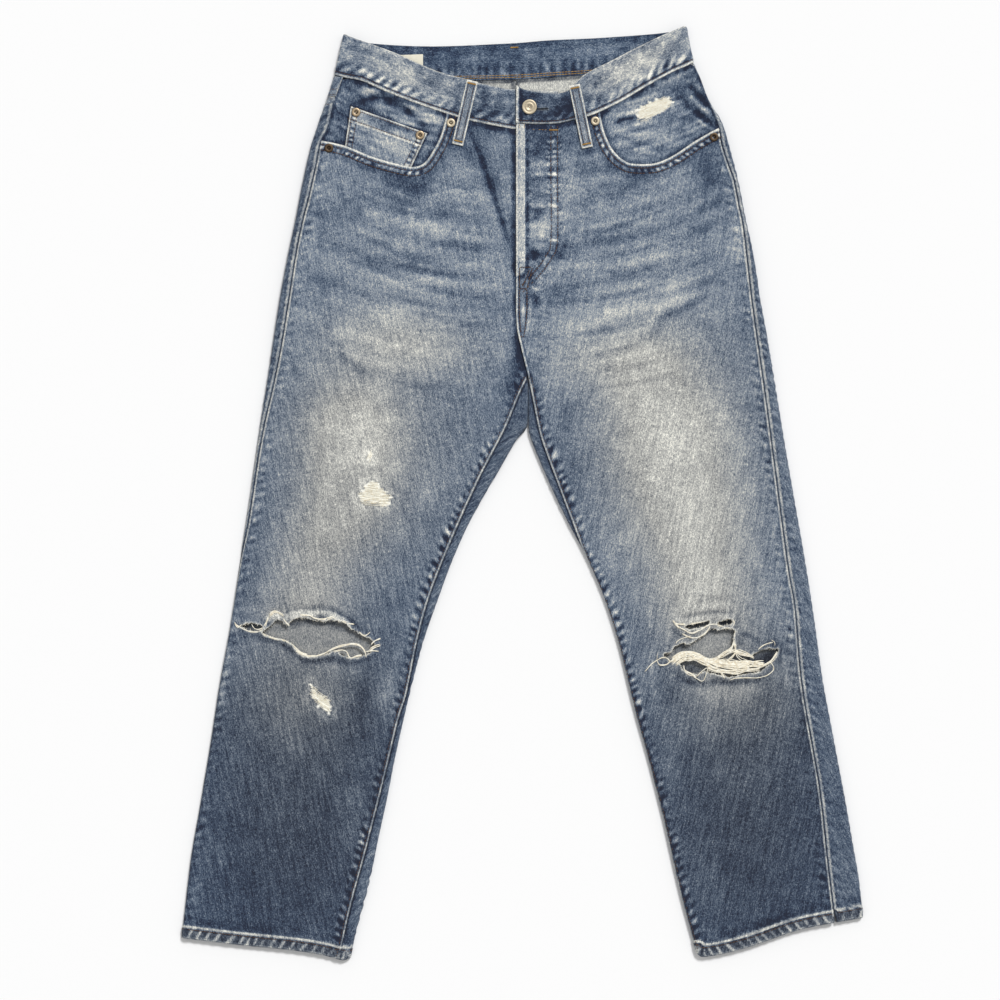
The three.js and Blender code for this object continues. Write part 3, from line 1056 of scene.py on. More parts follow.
class Weave:
    """A material's node tree under construction."""

    def __init__(self, name: str) -> None:
        """Starts a material of a given name with an empty tree.

        Args:
            name: The material's name.
        """
        self.material = bpy.data.materials.new(name)
        self.material.use_nodes = True
        self.tree = self.material.node_tree
        self.tree.nodes.clear()

    def node(self, kind: str, settings: dict, inputs: dict, output: int | str = 0) -> Knot:
        """Adds a node.

        Args:
            kind: The node's type.
            settings: Its properties, set first; "stops" fills a ramp.
            inputs: Values or links by socket name or number.
            output: Which output to return.

        Returns:
            The chosen output.
        """
        made = self.tree.nodes.new(kind)
        for key, value in settings.items():
            if key == "stops":
                self._fill(made.color_ramp, value)
            else:
                setattr(made, key, value)
        for key, value in inputs.items():
            if isinstance(value, Knot):
                self.tree.links.new(value.socket, made.inputs[key])
            else:
                made.inputs[key].default_value = value
        return Knot(self, made.outputs[output])

    @staticmethod
    def _fill(ramp_: bpy.types.ColorRamp, stops: Sequence[tuple[float, Point]]) -> None:
        """Sets a colour ramp's stops.

        Args:
            ramp_: The ramp.
            stops: Place and colour of each stop.
        """
        for i, (at, colour) in enumerate(stops):
            element = ramp_.elements[i] if i < 2 else ramp_.elements.new(at)
            element.position = at
            element.color = (*linear(colour), 1.0)

    def noise(self, vector: Knot, detail: float = 2.0, rough: float = 0.6) -> Knot:
        """Noise about zero, from roughly -0.5 to 0.5."""
        inputs = {"Vector": vector, "Scale": 1.0, "Detail": detail, "Roughness": rough}
        return self.node("ShaderNodeTexNoise", {}, inputs, "Fac") - 0.5

    def stretched(self, vector: Knot, scale: Point) -> Knot:
        """A vector scaled along each axis."""
        return self.node("ShaderNodeVectorMath", {"operation": "MULTIPLY"}, {0: vector, 1: scale})

    def attribute(self, name: str) -> Knot:
        """A value that the mesh carries."""
        return self.node("ShaderNodeAttribute", {"attribute_name": name}, {}, "Fac")

    def surface(self, **inputs: "Knot | float | Point") -> bpy.types.Material:
        """Ends the tree in a Principled shader.

        Args:
            inputs: Its sockets by name, with _ for each space.

        Returns:
            The finished material.
        """
        named = {key.replace("_", " "): value for key, value in inputs.items()}
        shader = self.node("ShaderNodeBsdfPrincipled", {}, named)
        end = self.tree.nodes.new("ShaderNodeOutputMaterial")
        self.tree.links.new(shader.socket, end.inputs["Surface"])
        return self.material


def linear(colour: Point) -> tuple[float, ...]:
    """A display colour from 0 to 255 as linear light."""
    shares = (value / 255 for value in colour)
    return tuple(c / 12.92 if c <= 0.04045 else ((c + 0.055) / 1.055) ** 2.4 for c in shares)


BLUE_STOPS = ((0.10, (17, 28, 53)), (0.20, (32, 50, 78)), (0.31, (59, 78, 103)), (0.39, (83, 100, 121)),
              (0.49, (110, 125, 145)), (0.545, (126, 139, 156)), (0.61, (146, 157, 169)),
              (0.65, (158, 167, 176)), (0.73, (184, 188, 188)), (0.80, (207, 207, 200)),
              (0.90, (232, 229, 217)), (1.0, (255, 253, 243)))
GREY_STOPS = ((0.10, (26, 29, 38)), (0.20, (46, 52, 62)), (0.31, (74, 80, 90)), (0.39, (96, 101, 107)),
              (0.49, (122, 126, 129)), (0.57, (145, 146, 146)), (0.65, (166, 166, 163)),
              (0.73, (186, 187, 183)), (0.80, (207, 207, 201)), (0.90, (234, 232, 221)),
              (1.0, (255, 254, 244)))


@dataclass(frozen=True)
class Denim:
    """Washed denim: a painted tone, worn dye and in places painted shade and highlight, broken up by its
    yarns.

    Attributes:
        name: The material's name.
        streak: Contrast of the warp's streaks.
        pepper: Contrast of the salt-and-pepper grain.
        slub: Contrast of its long uneven yarns.
        blotch: Contrast of its crushed mottling.
        relief: Strength of the twill's bumps.
    """

    name: str
    streak: float = 0.66
    pepper: float = 0.72
    slub: float = 0.42
    blotch: float = 0.30
    relief: float = 0.45

    def build(self) -> bpy.types.Material:
        """Makes the material.

        Returns:
            The material.
        """
        w = Weave(self.name)
        uv = w.node("ShaderNodeUVMap", {"uv_map": GRAIN_MAP}, {})
        streak = w.noise(w.stretched(uv, (880, 300, 1)), 2.0)
        pepper = w.noise(w.stretched(uv, (980, 760, 1)), 1.5, 0.7)
        slub = w.noise(w.stretched(uv, (340, 30, 1)), 1.5)
        blotch = w.noise(w.stretched(uv, (130, 150, 1)), 2.5, 0.75)
        swell = w.noise(w.stretched(uv, (34, 62, 1)), 1.0)
        crush = w.attribute("crush")
        u = w.node("ShaderNodeSeparateXYZ", {}, {0: uv}, 0)
        v = w.node("ShaderNodeSeparateXYZ", {}, {0: uv}, 1)
        twill = ((u * 1.0 + v * 1.35) * 5600.0 + pepper * 2.0).sine()
        fine = (streak * self.streak + pepper * self.pepper) * (crush * 0.13 + 0.98)
        mottled = (blotch * self.blotch + swell * (0.5 * self.blotch)) * crush
        tone = w.attribute("tone") + fine + mottled + slub * self.slub * (crush * -0.6 + 1.5)
        tone = (tone + twill * 0.012).clamp()
        blue = w.node("ShaderNodeValToRGB", {"stops": BLUE_STOPS}, {0: tone})
        grey = w.node("ShaderNodeValToRGB", {"stops": GREY_STOPS}, {0: tone})
        mixing = {"data_type": "RGBA"}
        colour = w.node("ShaderNodeMix", mixing, {0: w.attribute("grey").clamp(), 6: blue, 7: grey}, 2)
        height = twill * 0.5 + pepper * 1.6 + streak * 0.9
        bumps = {"Strength": self.relief, "Distance": 0.00035, "Height": height}
        normal = w.node("ShaderNodeBump", {}, bumps)
        return w.surface(Base_Color=colour, Roughness=0.93, Normal=normal, Sheen_Weight=0.08)


@dataclass(frozen=True)
class Thread:
    """Sewing thread or bare yarn: twisted, matt, one colour with a little variation.

    Attributes:
        name: The material's name.
        dark: Its colour in its hollows.
        pale: Its colour on its high places.
    """

    name: str
    dark: Point
    pale: Point

    def build(self) -> bpy.types.Material:
        """Makes the material.

        Returns:
            The material.
        """
        w = Weave(self.name)
        place = w.node("ShaderNodeTexCoord", {}, {}, "Object")
        speckle = w.noise(w.stretched(place, (420, 420, 420)), 2.0)
        twist = w.noise(w.stretched(place, (2600, 2600, 2600)), 1.0)
        stops = ((0.25, self.dark), (0.75, self.pale))
        colour = w.node("ShaderNodeValToRGB", {"stops": stops}, {0: speckle * 1.2 + twist * 0.8 + 0.5})
        normal = w.node("ShaderNodeBump", {}, {"Strength": 0.4, "Distance": 0.0002, "Height": twist})
        return w.surface(Base_Color=colour, Roughness=0.85, Normal=normal)


@dataclass(frozen=True)
class Metal:
    """Plated metal rubbed bright on its high places and dark in its hollows.

    Attributes:
        name: The material's name.
        dark: Its colour in its hollows.
        bright: Its colour on its high places.
        rough: Its roughness.
    """

    name: str
    dark: Point
    bright: Point
    rough: float

    def build(self) -> bpy.types.Material:
        """Makes the material.

        Returns:
            The material.
        """
        w = Weave(self.name)
        place = w.node("ShaderNodeTexCoord", {}, {}, "Object")
        tarnish = w.noise(w.stretched(place, (900, 900, 900)), 4.0)
        worn = (w.attribute("worn") + tarnish * 0.7).clamp()
        stops = ((0.2, self.dark), (0.8, self.bright))
        colour = w.node("ShaderNodeValToRGB", {"stops": stops}, {0: worn})
        grit = w.noise(w.stretched(place, (3000, 3000, 3000)), 2.0)
        normal = w.node("ShaderNodeBump", {}, {"Strength": 0.25, "Distance": 0.0002, "Height": grit})
        roughness = self.rough + tarnish * 0.3
        return w.surface(Base_Color=colour, Metallic=0.85, Roughness=roughness, Normal=normal)


@dataclass(frozen=True)
class Tape:
    """Plain woven cream tape."""

    name: str = "cream_tape"

    def build(self) -> bpy.types.Material:
        """Makes the material.

        Returns:
            The material.
        """
        w = Weave(self.name)
        uv = w.node("ShaderNodeUVMap", {"uv_map": GRAIN_MAP}, {})
        rib = w.noise(w.stretched(uv, (250, 2400, 1)), 2.0)
        blotch = w.noise(w.stretched(uv, (160, 160, 1)), 2.0)
        stops = ((0.2, (214, 207, 184)), (0.8, (244, 240, 224)))
        colour = w.node("ShaderNodeValToRGB", {"stops": stops}, {0: rib * 0.5 + blotch * 0.5 + 0.55})
        normal = w.node("ShaderNodeBump", {}, {"Strength": 0.3, "Distance": 0.0002, "Height": rib})
        return w.surface(Base_Color=colour, Roughness=0.8, Normal=normal)


class Palette:
    """Every finish, made once."""

    def __init__(self) -> None:
        """Makes the materials."""
        self.denim = Denim("washed_denim").build()
        self.wrong_side = Denim("denim_wrong_side", 0.55, 0.6, 0.15, 0.12).build()
        self.brown = Thread("brown_thread", (62, 44, 34), (112, 84, 62)).build()
        self.orange = Thread("orange_thread", (158, 118, 54), (200, 160, 88)).build()
        self.cream = Thread("cream_yarn", (226, 214, 188), (255, 253, 241)).build()
        self.nickel = Metal("antique_nickel", (86, 76, 62), (206, 193, 168), 0.5).build()
        self.copper = Metal("antique_copper", (27, 23, 20), (92, 77, 61), 0.45).build()
        self.bronze = Metal("rubbed_bronze", (58, 48, 38), (180, 160, 132), 0.42).build()
        self.tape = Tape().build()


# ---------------------------------------------------------------------------- meshes

def mesh_object(name: str, places: Array, faces: Sequence, materials: Sequence) -> bpy.types.Object:
    """Makes a mesh object from points in millimetres.

    Args:
        name: The object's name.
        places: The points.
        faces: The faces' corners.
        materials: Its materials, in slot order.

    Returns:
        The object, at the origin.
    """
    mesh = bpy.data.meshes.new(name)
    mesh.from_pydata((places * MM).tolist(), [], faces.tolist() if isinstance(faces, Array) else faces)
    for material in materials:
        mesh.materials.append(material)
    mesh.polygons.foreach_set("use_smooth", np.ones(len(mesh.polygons), bool))
    made = bpy.data.objects.new(name, mesh)
    bpy.context.scene.collection.objects.link(made)
    return made


@dataclass
class Cut:
    """One cut piece of cloth, laid in place with all that marks it.

    Attributes:
        name: The piece's name.
        node: The CAD node that it stands for.
        slot: A material slot's name; not used.
        outline: The cut, in the piece's own coordinates.
        place: Lays those coordinates in space.
        marks: What marks it, in order.
        holes: Outlines of its holes.
        guides: Lines near which its mesh is fine.
        tone: Tone of the plain cloth.
        grey: How much blue the plain cloth has lost.
        inner_tone: Tone of its other face.
        inner_grey: How grey the other face is.
        inner_marks: What marks the other face, mostly painted shade under seams and rip edges.
        crush: How mottled the plain cloth is.
        lean: Turn of the warp from Y, in degrees.
        thick: Thickness of the cloth.
        coarse: Mesh size on plain ground.
        fine: Mesh size near guides.
        band: How near a guide the mesh is fine.
        rests_on: What the piece lies on.
        both_out: Whether both faces are the cloth's outside.
        rows: Lines that the mesh's points follow.
    """

    name: str
    node: str
    slot: str
    outline: Array
    place: Callable[[Array], tuple[Array, Array]]
    marks: list[Mark] = field(default_factory=list)
    holes: list[Array] = field(default_factory=list)
    guides: list[Array] = field(default_factory=list)
    tone: float = 0.47
    grey: float = 0.2
    inner_tone: float = 0.56
    inner_grey: float = 0.85
    inner_marks: list[Mark] = field(default_factory=list)
    crush: float = 1.0
    lean: float = 0.0
    thick: float = CLOTH
    coarse: float = 3.6
    fine: float = 1.7
    band: float = 13.0
    rests_on: str = "floor"
    both_out: bool = False
    rows: list[Array] = field(default_factory=list)
    obj: bpy.types.Object | None = None

    def relief(self, at: Array) -> Relief:
        """What the cloth carries at given points of the piece.

        Args:
            at: The piece's own coordinates.

        Returns:
            What its marks add up to there.
        """
        count = len(at)
        on = Relief(np.zeros(count), *(np.full(count, v) for v in (self.tone, self.grey, self.crush)))
        for mark in self.marks:
            mark.lay(at, on)
        return on

    def surface(self, at: Array, lift: float = 0.0) -> tuple[Array, Array]:
        """Points on the finished surface.

        Args:
            at: The piece's own coordinates.
            lift: How far off the surface.

        Returns:
            The places and the outward normals.
        """
        base, normal = self.place(at)
        place = base + normal * (self.relief(at).rise + lift)[:, None]
        place[:, 2] = np.maximum(place[:, 2], 0.0)
        return place, normal

    def _points(self) -> tuple[Array, list[tuple[int, int]]]:
        """The mesh's points in the piece's own coordinates, and the edges that bound it.

        Returns:
            The points, and the edges as pairs of them.
        """
        loops = [self.outline, *self.holes]
        edges, start = [], 0
        for loop in loops:
            edges += [(start + i, start + (i + 1) % len(loop)) for i in range(len(loop))]
            start += len(loop)
        rings = [ring_of(loop) for loop in loops]
        rims = [offset(ring, sign * gap)[:-1] for ring in rings for gap in RIM_ROWS for sign in (1, -1)]
        rim = np.vstack(rims + self.rows)
        rim = rim[on_cloth(rim, self.outline, self.holes)]
        rim = thinned(rim[nearest(rim, rings, 1.5) > RIM_CLEAR], RIM_APART)
        grid = self._grid(rings)
        kept_clear = [offset(ring, sign * gap) for ring in rings for gap in RIM_ROWS[1:] for sign in (1, -1)]
        for row in kept_clear + self.rows:
            grid = grid[near(grid, evenly(row, 2.0), ROW_CLEAR)[0] > ROW_CLEAR]
        return np.vstack([*loops, rim, grid]), edges

    def _grid(self, rings: list[Array]) -> Array:
        """The mesh's points on open ground: coarse, and fine near edges and guides.

        Args:
            rings: The closed lines that bound the piece.

        Returns:
            The points that lie on the cloth and clear of its edges.
        """
        low, high = self.outline.min(0), self.outline.max(0)
        tests = [evenly(line, min(8.0, 3 * self.fine)) for line in rings + self.guides]
        kept = []
        for size, fine in ((self.coarse, False), (self.fine, True)):
            rows = np.arange(low[1], high[1], size * math.sqrt(3) / 2)
            cols = np.arange(low[0], high[0], size)
            x, y = np.meshgrid(cols, rows)
            x = x + (np.arange(len(rows)) % 2)[:, None] * size / 2
            grid = np.column_stack([x.ravel(), y.ravel()])
            close = nearest(grid, tests, self.band + size)
            kept.append(grid[close < self.band] if fine else grid[close >= self.band + 0.3 * size])
        grid = np.vstack(kept)
        grid = grid[on_cloth(grid, self.outline, self.holes)]
        return grid[nearest(grid, [evenly(ring, 2.0) for ring in rings], 3.0) > 0.55 * self.fine]

    def _plan(self) -> tuple[Array, Array]:
        """The piece's mesh, flat: its points, and its triangles, which all turn left.

        Returns:
            The points and the triangles.
        """
        points, edges = self._points()
        found = delaunay_2d_cdt([Vector(p) for p in points], edges, [], 0, WELD)
        at = np.array([tuple(v) for v in found[0]])
        faces = np.array(found[2])
        faces = faces[on_cloth(at[faces].mean(1), self.outline, self.holes)]
        used = np.unique(faces)
        renumber = np.full(len(at), -1)
        renumber[used] = np.arange(len(used))
        at, faces = at[used], renumber[faces]
        a, b, c = (at[faces[:, k]] for k in range(3))
        turned = (b[:, 0] - a[:, 0]) * (c[:, 1] - a[:, 1]) - (b[:, 1] - a[:, 1]) * (c[:, 0] - a[:, 0])
        faces[turned < 0] = faces[turned < 0][:, ::-1]
        return at, faces

    def build(self, palette: Palette) -> bpy.types.Object:
        """Makes the piece: both faces, its edges, its grain map, and its wear and painted shade.

        Args:
            palette: The finishes.

        Returns:
            The piece.
        """
        at, faces = self._plan()
        on = self.relief(at)
        base, normal = self.place(at)
        outer = base + normal * on.rise[:, None]
        inner = outer - normal * self.thick
        outer[:, 2] = np.maximum(outer[:, 2], 0.0)
        inner[:, 2] = np.maximum(inner[:, 2], 0.35 * self.thick)
        if self._mirrored(faces, base, normal):
            faces = faces[:, ::-1]
        count = len(at)
        sides = np.vstack([faces[:, [0, 1]], faces[:, [1, 2]], faces[:, [2, 0]]])
        key = np.sort(sides, axis=1)
        _, first, times = np.unique(key, axis=0, return_index=True, return_counts=True)
        rim = sides[first[times == 1]]
        walls = np.column_stack([rim[:, 1], rim[:, 0], rim[:, 0] + count, rim[:, 1] + count])
        triangles = np.vstack([faces, faces[:, ::-1] + count])
        every = triangles.tolist() + walls.tolist()
        made = mesh_object(self.name, np.vstack([outer, inner]), every, [palette.denim, palette.wrong_side])
        self._dress(made, at, on, len(faces))
        self.obj = made
        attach(made, "root")
        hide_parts(self.node)
        log.info("%s: %d faces", self.name, len(made.data.polygons))
        return made

    @staticmethod
    def _mirrored(faces: Array, base: Array, normal: Array) -> bool:
        """Whether the piece's own left turns come out as right turns seen from outside."""
        a, b, c = (base[faces[:, k]] for k in range(3))
        return float((np.cross(b - a, c - a) * normal[faces[:, 0]]).sum()) < 0

    def _dress(self, made: bpy.types.Object, at: Array, on: Relief, count: int) -> None:
        """Gives the piece its wear and painted shade, its grain map and its inner face's finish.

        Args:
            made: The piece.
            at: Its points in its own coordinates.
            on: What they carry.
            count: How many faces its outside has.
        """
        mesh = made.data
        back = self.inner_side(at)
        for name, pair in (("tone", (on.tone, back.tone)), ("grey", (on.grey, back.grey)),
                           ("crush", (on.crush, back.crush))):
            layer = mesh.attributes.new(name, "FLOAT", "POINT")
            carried = np.clip(np.concatenate(pair), 0, MOST_CARRIED)
            layer.data.foreach_set("value", carried.astype(np.float32))
        a = math.radians(self.lean)
        turned = np.column_stack([
            at[:, 0] * math.cos(a) + at[:, 1] * math.sin(a),
            at[:, 1] * math.cos(a) - at[:, 0] * math.sin(a),
        ]) * MM
        uv = mesh.uv_layers.new(name=GRAIN_MAP)
        corner = np.zeros(len(mesh.loops), np.int32)
        mesh.loops.foreach_get("vertex_index", corner)
        uv.data.foreach_set("uv", turned[corner % len(at)].astype(np.float32).ravel())
        slots = np.zeros(len(mesh.polygons), np.int32)
        if not self.both_out:
            slots[count: 2 * count] = 1
        mesh.polygons.foreach_set("material_index", slots)

    def inner_side(self, at: Array) -> Relief:
        """What the inner face carries.

        Args:
            at: The piece's own coordinates.

        Returns:
            What its inner marks add up to there.
        """
        count = len(at)
        tone = self.inner_tone + 0.03 * cloudy(at, (23, 31), 5)
        on = Relief(np.zeros(count), tone, np.full(count, self.inner_grey), np.full(count, self.crush))
        for mark in self.inner_marks:
            mark.lay(at, on)
        return on

    def declare(self, *with_pieces: bpy.types.Object) -> None:
        """Works out the piece's flat size and area, and keeps neither.

        Args:
            with_pieces: Not used.
        """
        size = (self.outline.max(0) - self.outline.min(0)) * MM
        area = (area_of(self.outline) - sum(area_of(h) for h in self.holes)) * MM * MM
        area = min(area, float(size[0] * size[1]))


def tube(points: Array, radius: float, sides: int = 5) -> tuple[Array, Array]:
    """A round yarn along a line in space.

    Args:
        points: The line.
        radius: The yarn's radius; its ends taper.
        sides: How many sides it has.

    Returns:
        Its points and its faces, as triangles.
    """
    ahead = np.gradient(points, axis=0)
    ahead /= np.maximum(np.linalg.norm(ahead, axis=1, keepdims=True), 1e-9)
    right = np.cross(ahead, (0.02, 0.03, 1.0))
    right /= np.maximum(np.linalg.norm(right, axis=1, keepdims=True), 1e-9)
    up = np.cross(right, ahead)
    count = len(points)
    size = np.full(count, radius)
    size[0] = size[-1] = 0.35 * radius
    turn = 2 * math.pi * np.arange(sides) / sides
    ring = points[:, None] + size[:, None, None] * (
        right[:, None] * np.cos(turn)[None, :, None] + up[:, None] * np.sin(turn)[None, :, None]
    )
    i, k = np.meshgrid(np.arange(count - 1), np.arange(sides), indexing="ij")
    a, b = i * sides + k, i * sides + (k + 1) % sides
    faces = np.vstack([
        np.stack([a, b + sides, b], -1).reshape(-1, 3),
        np.stack([a, a + sides, b + sides], -1).reshape(-1, 3),
    ])
    fan = np.arange(1, sides - 1)
    first = np.column_stack([np.zeros_like(fan), fan, fan + 1])
    last = (count - 1) * sides + np.column_stack([np.zeros_like(fan), fan + 1, fan])
    return ring.reshape(-1, 3), np.vstack([faces, first, last])


class Joined:
    """Many small meshes gathered into one piece."""

    def __init__(self, name: str, material: bpy.types.Material, slot: str) -> None:
        """Starts an empty piece.

        Args:
            name: The piece's name.
            material: Its finish.
            slot: A material slot's name; not used.
        """
        self.name = name
        self.material = material
        self.slot = slot
        self.places: list[Array] = []
        self.faces: list[Array] = []
        self.count = 0

    def add(self, places: Array, faces: Array) -> None:
        """Adds one small mesh.

        Args:
            places: Its points.
            faces: Its faces.
        """
        self.places.append(places)
        self.faces.append(faces + self.count)
        self.count += len(places)

    def build(self) -> bpy.types.Object:
        """Makes the piece.

        Returns:
            The piece.
        """
        made = mesh_object(self.name, np.vstack(self.places), np.vstack(self.faces), [self.material])
        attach(made, "root")
        log.info("%s: %d faces", self.name, len(made.data.polygons))
        return made


class Needle:
    """Sews rows of stitches on to a cut piece."""

    SIDES = 5

    def __init__(self, thread: Joined, seed: int) -> None:
        """Threads the needle: stitches are gathered in one joined piece."""
        self.thread = thread
        self.random = np.random.default_rng(seed)

    def _stitch(self, start: Array, end: Array, normal: Array, thick: float) -> None:
        """Lays one stitch, a grain of thread sunk at both ends.

        Args:
            start: Where it comes up.
            end: Where it goes down.
            normal: The cloth's outward direction.
            thick: The thread's radius.
        """
        middle = (start + end) / 2 + normal * thick * 0.35
        line = np.array([start - normal * 0.15, start * 0.72 + middle * 0.28 + normal * thick * 0.25,
                         middle, end * 0.72 + middle * 0.28 + normal * thick * 0.25, end - normal * 0.15])
        self.thread.add(*tube(line, thick, self.SIDES))

    def row(self, on: Cut, line: Array, length: float = 2.6, pitch: float = 3.3, thick: float = 0.3,
            skip: float = 0.0) -> None:
        """Sews one row.

        Args:
            on: The piece sewn on.
            line: The row, in that piece's own coordinates.
            length: Length of each stitch.
            pitch: Distance from stitch to stitch.
            thick: Radius of the thread.
            skip: Share of the stitches worn away.
        """
        run = np.r_[0, np.cumsum(np.linalg.norm(np.diff(line, axis=0), axis=1))]
        starts = np.arange(0.3 * pitch, run[-1] - length, pitch)
        starts = starts[self.random.random(len(starts)) >= skip]
        if not len(starts):
            return
        both = np.concatenate([starts, starts + length])
        at = np.column_stack([np.interp(both, run, line[:, k]) for k in range(2)])
        place, normal = on.surface(at, 0.12)
        half = len(starts)
        for i in range(half):
            self._stitch(place[i], place[i + half], normal[i], thick)

    def tack(self, on: Cut, start: Point, end: Point, width: float = 2.0, thick: float = 0.28) -> None:
        """Sews a bartack: close zigzag stitches between two points.

        Args:
            on: The piece sewn on.
            start: One end.
            end: The other end.
            width: Width of the zigzag.
            thick: The thread's radius.
        """
        a, b = np.array(start, float), np.array(end, float)
        count = max(4, int(np.linalg.norm(b - a) / 0.55))
        side = np.array([a[1] - b[1], b[0] - a[0]]) / np.linalg.norm(b - a) * width / 2
        t = np.linspace(0, 1, count)[:, None]
        spine = a + (b - a) * t
        place, normal = on.surface(np.vstack([spine - side, spine + side]), 0.25)
        for i in range(count):
            self._stitch(place[i], place[i + count], normal[i], thick)


# ---------------------------------------------------------------------------- panels

def mirrored(line: Iterable[Point], side: Side) -> Array:
    """A line measured outwards from the centre, in plan."""
    return np.array(list(line), float) * (side.value, 1)


def join(*runs: Array) -> Array:
    """One closed outline from runs that follow on, without doubled points.

    Args:
        runs: The runs, in order.

    Returns:
        The outline.
    """
    whole = np.vstack(runs)
    step = np.linalg.norm(whole - np.roll(whole, 1, axis=0), axis=1)
    return whole[step > 0.35]


def polygon(corners: Iterable[Point], step: float) -> Array:
    """A straight-edged outline.

    Args:
        corners: Its corners, in order.
        step: The wanted distance between its points.

    Returns:
        Its points, evenly spaced along each edge.
    """
    c = np.asarray(corners, float)
    return join(*[evenly([a, b], step)[:-1] for a, b in zip(c, np.roll(c, -1, axis=0))])


def outwards(line: Array, side: Side) -> Array:
    """A line's points in order from the centre to the side."""
    return line[np.argsort(line[:, 0] * side.value)]


def lying(at: Array, height: float | Array, up: float = 1.0) -> tuple[Array, Array]:
    """Places plan points at a height.

    Args:
        at: The points.
        height: Their height, one for all or one for each.
        up: +1 where the cloth's outside looks up, -1 where it looks down.

    Returns:
        The places and the outward normals.
    """
    places = np.column_stack([at, np.broadcast_to(height, len(at))])
    return places, np.tile((0.0, 0.0, up), (len(at), 1))


def worn_spots(side: Side, on_leg: bool) -> list[Sequence[Point]]:
    """The worn spots of one side, on its leg or on its pocket facing."""
    return [loop for loop in WORN_SPOTS[side] if (loop[0][1] < LEG_TOP) == on_leg]


def between(line: Array, low: float, high: float) -> Array:
    """The part of a line whose Y lies between two values."""
    return line[(line[:, 1] >= low) & (line[:, 1] <= high)]


